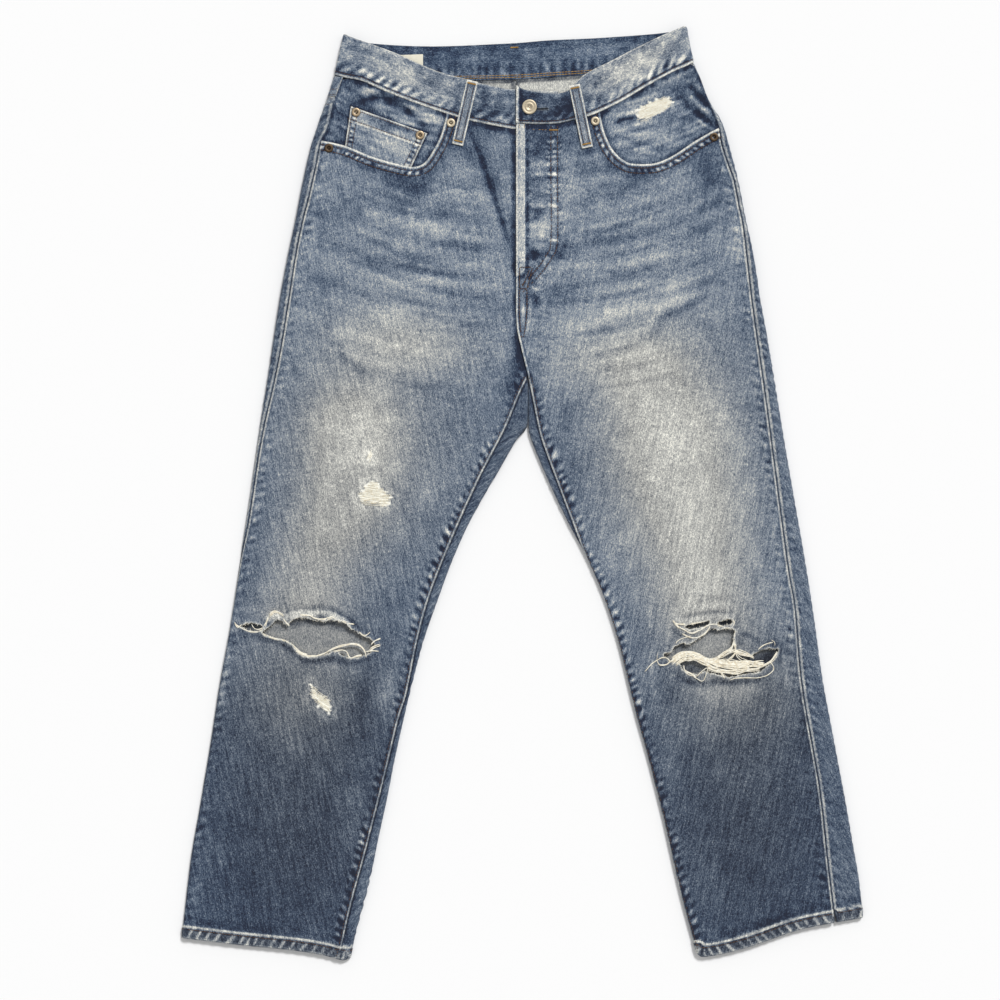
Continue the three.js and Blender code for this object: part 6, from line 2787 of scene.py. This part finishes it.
class Frays:
    """The bare yarns left across and round the ripped knees."""

    STEP = 2.2
    LOWEST = 1.8

    def __init__(self, side: Side, panel: FrontPanel, palette: Palette) -> None:
        """Gathers the yarns of one leg.

        Args:
            side: The wearer's side.
            panel: That leg's front panel.
            palette: The finishes.
        """
        self.panel = panel
        self.random = np.random.default_rng(17 + side.value)
        self.cream = Joined(f"knee_yarns_{side.word}", palette.cream, "denim_front")

    def strand(self, strand: Strand) -> None:
        """Lays a strand, or a loose bundle that follows it.

        Args:
            strand: The strand.
        """
        line = smooth(strand.points, self.STEP)
        run = np.arange(len(line)) * self.STEP
        for _ in range(strand.count):
            seed = int(self.random.integers(1, 9999))
            sway = strand.spread * np.column_stack([
                0.4 * wander(run, 21, seed), wander(run, 17, seed + 1), 0.25 * wander(run, 13, seed + 2)])
            drift = strand.spread * np.array([0.0, self.random.uniform(-0.8, 0.8), 0.0])
            kink = 0.25 * np.column_stack([
                wander(run, 4, seed + 3), wander(run, 4, seed + 4), wander(run, 5, seed)])
            path = line + sway + drift + kink
            path[:, 2] = np.maximum(path[:, 2], self.LOWEST)
            self.cream.add(*tube(path, strand.radius * self.random.uniform(0.75, 1.15)))

    def fringe(self, loop: Array, every: float, longest: float) -> None:
        """Frays a raw edge with short hairs.

        Args:
            loop: The edge, in plan.
            every: Mean distance between hairs.
            longest: Length of the longest.
        """
        ring = evenly(ring_of(loop), every)
        at, _ = self.panel.cut.surface(ring, -0.4)
        centre = loop.mean(0)
        for place in at:
            inward = centre - place[:2]
            inward /= max(np.linalg.norm(inward), 1e-6)
            angle = self.random.uniform(-1.2, 1.2)
            c, s = math.cos(angle), math.sin(angle)
            way = np.array([inward[0] * c - inward[1] * s, inward[0] * s + inward[1] * c])
            length = longest * self.random.uniform(0.25, 1.0) ** 1.5
            bend = self.random.uniform(-0.5, 0.5)
            t = np.linspace(0, 1, 5)[:, None]
            side = np.array([-way[1], way[0]])
            plan = place[:2] - way * 0.8 + way * length * t + side * bend * length * t**2
            z = place[2] + 0.5 * np.sin(t * 2.4) * self.random.uniform(0.2, 1.2)
            self.cream.add(*tube(np.hstack([plan, z]), self.random.uniform(0.13, 0.28), 3))

    def bare_weft(self, on: Cut, loop: Sequence[Point], lean: float, apart: float = 1.35) -> None:
        """Lays the bared weft of a worn spot, yarn beside yarn.

        Args:
            on: The piece that the spot is on.
            loop: The spot's outline.
            lean: The yarns' turn from X, in degrees.
            apart: The distance between yarns.
        """
        a = math.radians(lean)
        turn = np.array([[math.cos(a), -math.sin(a)], [math.sin(a), math.cos(a)]])
        ring = smooth(loop, 0.8, closed=True) @ turn
        for v in np.arange(ring[:, 1].min() + 0.5, ring[:, 1].max() - 0.3, apart):
            crossing = ring[np.abs(ring[:, 1] - v) < 0.8, 0]
            if not len(crossing):
                continue
            low = crossing.min() - self.random.uniform(-3.5, 2.6)
            high = crossing.max() + self.random.uniform(-3.5, 2.6)
            u = np.arange(low, high, 1.3)
            if len(u) < 4:
                continue
            sway = 0.45 * wander(u, 5.0, int(v * 7) + 900)
            plan = np.column_stack([u, v + sway]) @ turn.T
            place, _ = on.surface(plan, 0.25)
            place[:, 2] += 0.4 * (0.5 + 0.5 * wander(u, 3.2, int(v * 5) + 950))
            self.cream.add(*tube(place, self.random.uniform(0.22, 0.38), 5))


STRANDS = {
    Side.RIGHT: [
        Strand(((-255, -157, 6), (-247.5, -162, 6.6), (-242.5, -167.5, 6.8), (-237, -171.5, 6.6),
                (-229.5, -174, 6.4), (-221, -174, 6.2), (-213.5, -171.5, 6.4), (-206, -167.5, 6.6),
                (-197.5, -164, 6.8), (-189, -162, 6.9), (-181.5, -161, 6.9), (-174, -163, 6.8),
                (-169.5, -167.5, 6.8), (-167, -175, 6.8)), 0.55, 4, 0.55),
        Strand(((-248, -161, 6.4), (-242, -166, 6.8), (-236.5, -171, 6.8), (-230, -173, 6.6)), 0.5, 4, 0.9),
        Strand(((-168, -170, 6.8), (-161, -168.5, 7), (-154, -168.5, 6.8)), 0.5, 3, 0.8),
        Strand(((-162, -163, 6.8), (-159, -159, 7.1), (-152, -155.5, 7)), 0.5, 5, 1.2),
        Strand(((-164, -168, 6.6), (-158, -164, 7), (-152, -162, 7)), 0.45, 4, 1.0),
        Strand(((-203, -170, 6.6), (-194, -167.5, 6.8), (-188, -169.5, 6.8), (-184.5, -176, 6.8),
                (-178, -174, 6.8), (-172, -173, 6.8)), 0.5, 3, 0.5),
        Strand(((-306.5, -140, 6.8), (-302.5, -143, 7), (-297, -146, 7), (-289.5, -148, 7),
                (-281, -147.5, 7), (-275.5, -143.5, 7), (-274, -138, 7), (-272, -132.5, 7)), 0.5, 4, 0.6),
        Strand(((-290, -140, 6.8), (-286, -145, 6.8), (-278.5, -144.5, 6.8), (-275, -138, 7)), 0.5, 2, 0.4),
        Strand(((-279, -149.5, 6.6), (-271, -153.5, 6.7), (-264, -155.8, 6.7), (-254, -157.5, 6.6)),
               0.4, 3, 0.6),
        Strand(((-308, -138, 6.8), (-304.5, -143, 7), (-300.5, -140, 7)), 0.45, 3, 0.8),
        Strand(((-271, -132, 7.2), (-267, -127.5, 7.6), (-262, -127, 7.6), (-256, -131, 7.2)), 0.5, 5, 1.3),
        Strand(((-256, -134, 7), (-252, -139, 7), (-249, -141, 6.8)), 0.45, 3, 0.8),
        Strand(((-238, -130, 7.2), (-228, -131, 7.2), (-222, -134, 7), (-212, -135, 7), (-203, -132, 7)),
               0.42, 5, 1.3),
        Strand(((-204, -131, 7), (-196, -135, 7), (-187, -139, 7), (-180, -140, 7)), 0.4, 3, 0.9),
        Strand(((-175, -149, 6.8), (-169, -153, 7), (-163, -149, 7)), 0.35, 3, 0.8),
    ],
    Side.LEFT: [
        Strand(((160, -180.5, 6.8), (168.5, -174, 7.2), (179, -171, 7.4), (188, -174, 7.4),
                (196.5, -179, 7.3), (209, -182.5, 7.3), (227.5, -184.5, 7.3), (241.5, -182.5, 7.2),
                (258.5, -181.5, 7)), 0.48, 11, 2.3),
        Strand(((164, -182.5, 6.8), (173, -177, 7.2), (183.5, -176, 7.4), (194, -181, 7.4),
                (207, -185.5, 7.4), (222, -188.5, 7.4), (238, -186.5, 7.3), (254, -185.5, 7.2),
                (265, -180.5, 7), (272.5, -171.5, 6.8)), 0.45, 8, 1.7),
        Strand(((160, -178, 6.8), (170.5, -172, 7.2), (183.5, -172, 7.2), (192, -177, 7.2),
                (205, -179.5, 7.2), (217.5, -180, 7.2), (232.5, -181.5, 7.2), (249, -182.5, 7)),
               0.45, 8, 1.9),
        Strand(((176, -176, 7.6), (188, -177, 7.7), (200, -181.5, 7.7), (214, -184, 7.7), (230, -185.5, 7.6),
                (243, -185, 7.4)), 0.5, 9, 2.6),
        Strand(((197.5, -186.5, 6.8), (206, -190, 7), (216.5, -191, 7), (227.5, -192, 7), (238, -190, 7),
                (254, -188, 6.8)), 0.4, 6, 1.2),
        Strand(((196.5, -178, 7), (207, -176, 7.2), (216.5, -169.5, 7.3), (223, -165.5, 7.4),
                (226.5, -157, 7.3), (227.5, -148, 7)), 0.45, 6, 1.3),
        Strand(((203, -179.5, 7), (213.5, -174, 7.3), (224, -168.5, 7.6), (235, -172, 7.4),
                (246.5, -174, 7)), 0.42, 6, 1.5),
        Strand(((227.5, -165, 7.2), (231, -175, 7.6), (241.5, -180, 7.2)), 0.4, 4, 1.2),
        Strand(((218, -180, 7.2), (225, -174, 7.6), (230.5, -168, 7.6), (238, -170, 7.4), (248, -176, 7)),
               0.4, 5, 1.6),
        Strand(((228, -150, 7), (226.5, -158, 7.4), (228.5, -166, 7.4)), 0.55, 5, 1.2),
        Strand(((162, -138.5, 7), (168.5, -140, 7.2), (179, -140, 7.2), (190, -138, 7.2), (198.5, -136, 7),
                (204, -134.5, 7)), 0.5, 3, 0.6),
        Strand(((163, -140.5, 7), (173, -146, 7.2), (181.5, -149.5, 7.3), (190, -146, 7.4),
                (198.5, -141, 7.4), (206, -139.8, 7.2), (213.5, -142, 7.2), (220, -143.8, 7.2),
                (226.5, -140.5, 7.2), (225.5, -135, 7)), 0.5, 4, 0.55),
        Strand(((171, -150.5, 7), (179, -154.5, 7.2), (186.5, -155, 7.2), (193, -152, 7.2),
                (198.5, -147, 7.2), (201, -142, 7)), 0.5, 4, 0.7),
        Strand(((162, -165, 6.8), (165.5, -158.5, 7), (173, -155, 7.2), (181, -152.5, 7)), 0.42, 2, 0.5),
        Strand(((161, -136, 7), (164, -140, 7.2), (168, -144, 7)), 0.5, 4, 1.0),
        Strand(((131, -191, 6.9), (137.5, -183.5, 7.2), (144, -179, 7.3), (149.5, -176, 7.3),
                (155.5, -177, 7.3), (159, -180.5, 7.3), (163, -176, 7.2)), 0.5, 2, 0.45),
        Strand(((144, -179, 7), (147, -183.5, 7.2), (154.5, -183, 7.3), (158.5, -179.5, 7.4),
                (168.5, -174.5, 7.2)), 0.42, 2, 0.4),
        Strand(((144, -179, 7), (144.5, -174, 7.4), (145, -170, 7.4)), 0.3, 1, 0.3),
        Strand(((173, -190, 6.9), (179, -194, 7.1), (186.5, -195.5, 7.4), (192, -190, 7.6),
                (198, -186.5, 7.6), (196.5, -194, 7.6), (193, -200.5, 7.5), (188, -198.8, 7.2),
                (182.5, -195.5, 7)), 0.42, 1, 0.2),
        Strand(((173, -184, 6.9), (174, -189, 7.1), (181, -193, 7.3), (186, -197, 7.2)), 0.45, 3, 0.7),
        Strand(((222, -200, 6.9), (228.5, -197.8, 7.2), (238, -197.5, 7.3), (251, -197.5, 7.3),
                (259.5, -195.5, 7.3), (266, -192, 7.3), (269, -187.5, 7.3), (267, -182.5, 7.2),
                (264, -180, 7)), 0.42, 2, 0.35),
        Strand(((212, -190, 7), (214, -194, 7.2), (217, -198, 7.2)), 0.4, 3, 0.9),
        Strand(((266, -156.5, 7), (270, -159, 7.6), (270, -163.5, 7.2)), 0.35, 1, 0.2),
        Strand(((252, -168, 7), (256.5, -163.5, 7.5), (261.5, -161, 7.5), (268, -159.5, 7.2)), 0.38, 2, 0.5),
    ],
}


# ---------------------------------------------------------------------------- metal trimmings

class Hardware:
    """The waist button and the rivets, turned and pressed from sheet metal."""

    RIVETS = {
        "rivet_right_side": (-207, 369.5), "rivet_right_front": (-76.5, 396.5),
        "rivet_coin_outer": (-178, 408), "rivet_coin_inner": (-109.5, 383.5),
        "rivet_left_front": (78, 398.5), "rivet_left_side": (205, 381.5),
    }
    BUTTON_PLACE = (7.5, 413.5)
    BUTTON_TILT = 2.0
    # Radius and height of each ring, from the foot to the crown.
    BUTTON_RINGS = ((1.8, -2.2), (1.8, 0.0), (4.5, 0.15), (7.3, 0.3), (7.9, 0.8), (7.9, 1.2), (7.5, 1.6),
                    (6.9, 1.7), (6.2, 1.62), (5.7, 1.45), (4.3, 1.42), (4.0, 1.58), (3.5, 1.6),
                    (3.2, 1.42), (1.7, 1.38), (1.4, 1.18), (0.8, 1.16), (0.4, 1.34))
    RIVET_RINGS = ((4.8, 0.0), (4.9, 0.35), (4.65, 0.8), (4.1, 1.08), (3.4, 1.15), (2.6, 1.12), (2.1, 0.95),
                   (1.75, 0.45), (1.4, 0.3), (1.1, 0.5), (0.8, 0.85), (0.4, 0.9), (0.2, 0.85))
    BUTTON_SIDES, RIVET_SIDES = 48, 32
    SMOOTH_BELOW = math.radians(38)

    def __init__(self, palette: Palette) -> None:
        """Keeps the finishes."""
        self.palette = palette

    @staticmethod
    def _rings(name: str, rings: Sequence[tuple[float, float]], sides: int) -> bpy.types.Object:
        """Presses a round piece: a disc extruded and scaled ring by ring, closed at both ends.

        Args:
            name: The piece's name.
            rings: Radius and height of each ring, from the foot to the crown.
            sides: How many sides the disc has.

        Returns:
            The piece, at the origin.
        """
        bpy.ops.object.select_all(action="DESELECT")
        first, height = rings[0]
        bpy.ops.mesh.primitive_circle_add(
            vertices=sides, radius=first * MM, fill_type="NGON", location=(0, 0, height * MM))
        made = bpy.context.object
        made.name = name
        bpy.ops.object.transform_apply(location=True, rotation=False, scale=False)
        bpy.ops.object.mode_set(mode="EDIT")
        bpy.ops.mesh.select_all(action="SELECT")
        radius = first
        for next_radius, next_height in rings[1:]:
            bpy.ops.mesh.extrude_region_move(
                TRANSFORM_OT_translate={"value": (0, 0, (next_height - height) * MM)})
            share = next_radius / radius
            bpy.ops.transform.resize(value=(share, share, 1), center_override=(0, 0, next_height * MM))
            radius, height = next_radius, next_height
        bpy.ops.mesh.select_all(action="SELECT")
        bpy.ops.mesh.normals_make_consistent(inside=False)
        bpy.ops.object.mode_set(mode="OBJECT")
        return made

    def _finish(self, made: bpy.types.Object, place: Point, node: str, metal: bpy.types.Material,
                tilt: float) -> None:
        """Sets a pressed piece in place, with its wear.

        Args:
            made: The piece, at the origin.
            place: Where it goes.
            node: The CAD node that it stands for.
            metal: Its finish.
            tilt: Its lean towards the waist, in degrees.
        """
        mesh = made.data
        co = np.array([v.co[:] for v in mesh.vertices]) / MM
        top = co[:, 2].max()
        worn = mesh.attributes.new("worn", "FLOAT", "POINT")
        value = np.clip(0.25 + 0.75 * (np.clip(co[:, 2], 0, top) / top) ** 3, 0, 1)
        worn.data.foreach_set("value", value.astype(np.float32))
        turn = Matrix.Rotation(math.radians(tilt), 4, "X")
        made.data.transform(Matrix.Translation(Vector(place) * MM) @ turn)
        made.data.materials.clear()
        made.data.materials.append(metal)
        bpy.ops.object.select_all(action="DESELECT")
        made.select_set(True)
        bpy.context.view_layer.objects.active = made
        bpy.ops.object.shade_smooth_by_angle(angle=self.SMOOTH_BELOW)
        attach(made, "root")
        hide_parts(node)
        log.info("%s: %d faces", made.name, len(mesh.polygons))

    def metal_of(self, name: str) -> bpy.types.Material:
        """The finish of a rivet: bright in front, rubbed on the coin pocket, dark at the sides.

        Args:
            name: The rivet's name.

        Returns:
            Its finish.
        """
        if name.endswith("front"):
            return self.palette.nickel
        return self.palette.bronze if "coin" in name else self.palette.copper

    def button(self, z: float) -> bpy.types.Object:
        """Makes the shank button: rim, dished face and a raised ring round its middle.

        Args:
            z: Height of its foot.

        Returns:
            The button.
        """
        made = self._rings("waist_button_metal", self.BUTTON_RINGS, self.BUTTON_SIDES)
        self._finish(made, (*self.BUTTON_PLACE, z), "waist_button", self.palette.nickel,
                     self.BUTTON_TILT)
        return made

    def rivet(self, name: str, z: float, metal: bpy.types.Material) -> bpy.types.Object:
        """Makes a rivet: a burr with a raised rim round a pricked centre.

        Args:
            name: Which rivet.
            z: Height of its foot.
            metal: Its finish.

        Returns:
            The rivet.
        """
        made = self._rings(f"{name}_metal", self.RIVET_RINGS, self.RIVET_SIDES)
        self._finish(made, (*self.RIVETS[name], z), name, metal, 0.0)
        return made


# ---------------------------------------------------------------------------- studio

class Studio:
    """A plain pale floor, soft light from the upper right and a camera straight above."""

    LOOK_AT = (-24.0, -7.0)
    WIDTH = 1070.0
    HEIGHT = 3200.0
    TOP = 8.0
    FLOOR_SIZE = 12
    FLOOR_DROP = 0.0003
    FLOOR_COLOUR = (0.93, 0.93, 0.93, 1.0)
    SKY = 0.52
    SUN = 2.25
    SUN_WIDTH = math.radians(14)
    SUN_FROM = (0.40, 0.75, 0.95)
    SENSOR = 36

    def build(self) -> None:
        """Makes floor, lights and camera."""
        scene = bpy.context.scene
        bpy.ops.object.select_all(action="DESELECT")
        bpy.ops.mesh.primitive_plane_add(size=self.FLOOR_SIZE, location=(0, 0, -self.FLOOR_DROP))
        floor = bpy.context.object
        floor.name = "floor"
        bpy.ops.object.transform_apply(location=True, rotation=False, scale=False)
        pale = Weave("pale_floor").surface(Base_Color=self.FLOOR_COLOUR, Roughness=0.9)
        floor.data.materials.append(pale)
        world = bpy.data.worlds.new("studio")
        world.use_nodes = True
        background = world.node_tree.nodes["Background"]
        background.inputs["Color"].default_value = (1.0, 1.0, 1.0, 1.0)
        background.inputs["Strength"].default_value = self.SKY
        scene.world = world
        light = bpy.data.lights.new("softbox", "SUN")
        light.energy = self.SUN
        light.angle = self.SUN_WIDTH
        lamp = bpy.data.objects.new("softbox", light)
        scene.collection.objects.link(lamp)
        lamp.rotation_euler = Vector(self.SUN_FROM).to_track_quat("Z", "Y").to_euler()
        lens = bpy.data.cameras.new("camera")
        lens.sensor_width = self.SENSOR
        lens.lens = self.SENSOR * self.HEIGHT / self.WIDTH
        lens.clip_end = 20
        camera = bpy.data.objects.new("camera", lens)
        scene.collection.objects.link(camera)
        camera.location = (self.LOOK_AT[0] * MM, self.LOOK_AT[1] * MM, (self.HEIGHT + self.TOP) * MM)
        scene.camera = camera
        scene.view_settings.view_transform = "Standard"
        scene.view_settings.look = "None"


# ---------------------------------------------------------------------------- assembly

def label_cut() -> Cut:
    """The plain label inside the back of the waistband.

    Returns:
        The label's cut.
    """
    def place(at: Array) -> tuple[Array, Array]:
        """Lays the label on the back's inside, in soft waves."""
        return lying(at, LABEL_HEIGHT + 0.25 * np.sin(at[:, 0] / 6.0))

    return Cut(name="inside_label_tape", node="inside_label", slot="label_cloth",
               outline=polygon(LABEL, 1.5), place=place, thick=0.5, coarse=2.0, fine=1.5, band=4,
               rests_on="waistband_denim")


def sew(palette: Palette, fronts: dict, backs: dict, yokes: dict, band: Waistband, coin: CoinPocket,
        patches: dict, loops: Sequence[BeltLoop]) -> dict[str, bpy.types.Object]:
    """Sews every row of stitches and every bartack.

    Args:
        palette: The finishes.
        fronts: The front panels by side.
        backs: The back panels by side.
        yokes: The yokes by side.
        band: The waistband.
        coin: The coin pocket.
        patches: The patch pockets by side.
        loops: The belt loops.

    Returns:
        The joined pieces by colour.
    """
    brown = Joined("stitches_brown", palette.brown, "denim_front")
    orange = Joined("stitches_orange", palette.orange, "denim_waistband")
    dark, bright = Needle(brown, 5), Needle(orange, 6)
    for side, front in fronts.items():
        s = side.value
        for gap in POCKET_ROWS:
            dark.row(front.cut, offset(front.opening, gap * s), thick=0.42, skip=0.06)
        dark.row(front.cut, front.hem + (0, HEM_ROW), thick=0.38, skip=0.04)
        dark.row(front.cut, offset(front.inseam, 3.4 * s), 2.2, 3.4, 0.34, skip=0.2)
    left = fronts[Side.LEFT]
    for curve in (FLY_CURVE_INNER, FLY_CURVE_OUTER):
        dark.row(left.cut, smooth(curve, 2), thick=0.46, skip=0.05)
    for line in CENTRE_ROWS:
        dark.row(left.cut, smooth(line, 2), 2.0, 2.9, 0.5, skip=0.02)
    for a, b in CROTCH_BOX:
        dark.row(left.cut, evenly([a, b], 2), 1.8, 2.4, 0.5)
    bright.tack(left.cut, (29, 389), (38, 389), 1.6)
    bright.row(left.cut, evenly([(10, 389.6), (28, 389)], 1), 2.0, 3.2, 0.24, skip=0.35)
    for x in (-3.5, 2.2):
        bright.row(left.cut, evenly([(x, 396), (x, 390)], 1), 2.0, 2.4, 0.25)
    for side, back in backs.items():
        s = side.value
        yoke, patch = yokes[side], patches[side]
        dark.row(back.cut, back.hem + (0, HEM_ROW))
        for gap in FELL_ROWS:
            dark.row(back.cut, offset(back.yoke, gap * s))
            dark.row(yoke.cut, offset(yoke.seam, gap * s))
        dark.row(back.cut, offset(back.centre, FELL_ROWS[0] * s))
        for line, gap in ((patch.rim, -2.0), (patch.rim, -7.8), (patch.top, -11.5)):
            dark.row(patch.cut, offset(line, gap))
    for edge, rows in (([0, 1], COIN_TOP_ROWS), ([1, 2], COIN_SIDE_ROWS), ([3, 0], COIN_SIDE_ROWS)):
        for gap in rows:
            line = evenly(coin.corners[edge], 2)
            dark.row(coin.cut, offset(line, -gap), 2.2, 2.9, 0.38, skip=0.05)
    length = band.length
    dark.row(band.cut, evenly([(44, BAND_ROW), (length, BAND_ROW)], 2), 2.4, 3.2, 0.34, skip=0.12)
    inner = InnerFace(band.cut)
    for t in (2.2, 4.6):
        bright.row(inner, evenly([(200, t), (length - 190, t)], 2), 3.0, 3.4, 0.38)
    tack = band.ribbon.along(-11.5, 463, False)
    bright.tack(inner, (tack - 4, 34.5), (tack + 4, 34.5), 1.6)
    half = BeltLoop.WIDTH / 2 - 1.6
    for loop in loops:
        for y in (3.2, loop.length - 4.0):
            bright.tack(loop.cut, (-half, y), (half, y), 1.8)
        for x in (-3.0, 3.0):
            dark.row(loop.cut, evenly([(x, 6), (x, loop.length - 6)], 2), 2.2, 3.0, 0.3)
    return {"brown": brown.build(), "orange": orange.build()}


class InnerFace:
    """The inner face of a cut piece, for stitches that show there."""

    def __init__(self, cut: Cut) -> None:
        """Keeps the piece."""
        self.cut = cut

    def surface(self, at: Array, lift: float = 0.0) -> tuple[Array, Array]:
        """Points on the inner face, and the normals that look out of it."""
        place, normal = self.cut.surface(at, -self.cut.thick - lift)
        return place, -normal


def main() -> None:
    """Builds the jeans, piece by piece, then the studio."""
    logging.basicConfig(level=logging.INFO, format="%(message)s")
    Studio().build()
    palette = Palette()
    fronts = {side: FrontPanel(side) for side in Side}
    backs = {side: BackPanel(side) for side in Side}
    yokes = {side: Yoke(side) for side in Side}
    facings = {side: Facing(side) for side in Side}
    patches = {side: PatchPocket(side) for side in Side}
    coin = CoinPocket(facings[Side.RIGHT])
    band = Waistband()
    underlap = Underlap()
    label = label_cut()
    loops = [BeltLoop(name, *laid) for name, laid in LOOPS.items()]
    cuts = [part.cut for group in (fronts, backs, yokes, facings, patches) for part in group.values()]
    cuts += [coin.cut, band.cut, underlap.cut, label, *[loop.cut for loop in loops]]
    for cut in cuts:
        cut.build(palette)
    for slot in range(2):
        label.obj.data.materials[slot] = palette.tape
    yarns = {}
    for side, front in fronts.items():
        frays = Frays(side, front, palette)
        for strand in STRANDS[side]:
            frays.strand(strand)
        for rip in front.rips:
            frays.fringe(rip, every=1.4, longest=3.4)
        for loop, lean in zip(WORN_SPOTS[side], SPOT_LEANS[side]):
            frays.bare_weft(front.cut if loop[0][1] < LEG_TOP else facings[side].cut, loop, lean)
        yarns[side] = frays.cream.build()
    stitches = sew(palette, fronts, backs, yokes, band, coin, patches, loops)
    hardware = Hardware(palette)
    hardware.button(BAND_HIGH + BUTTON_LIFT)
    right, left = fronts[Side.RIGHT].cut, fronts[Side.LEFT].cut
    for name, cut in zip(Hardware.RIVETS, (right, right, coin.cut, coin.cut, left, left)):
        at = np.array([Hardware.RIVETS[name]], float)
        z = float(cut.surface(at)[0][0, 2])
        hardware.rivet(name, z + RIVET_LIFT, hardware.metal_of(name))
    right.declare(yarns[Side.RIGHT], stitches["brown"])
    left.declare(yarns[Side.LEFT])
    band.cut.declare(stitches["orange"])
    for cut in cuts:
        if all(cut is not declared for declared in (right, left, band.cut)):
            cut.declare()


if __name__ == "__main__":
    main()
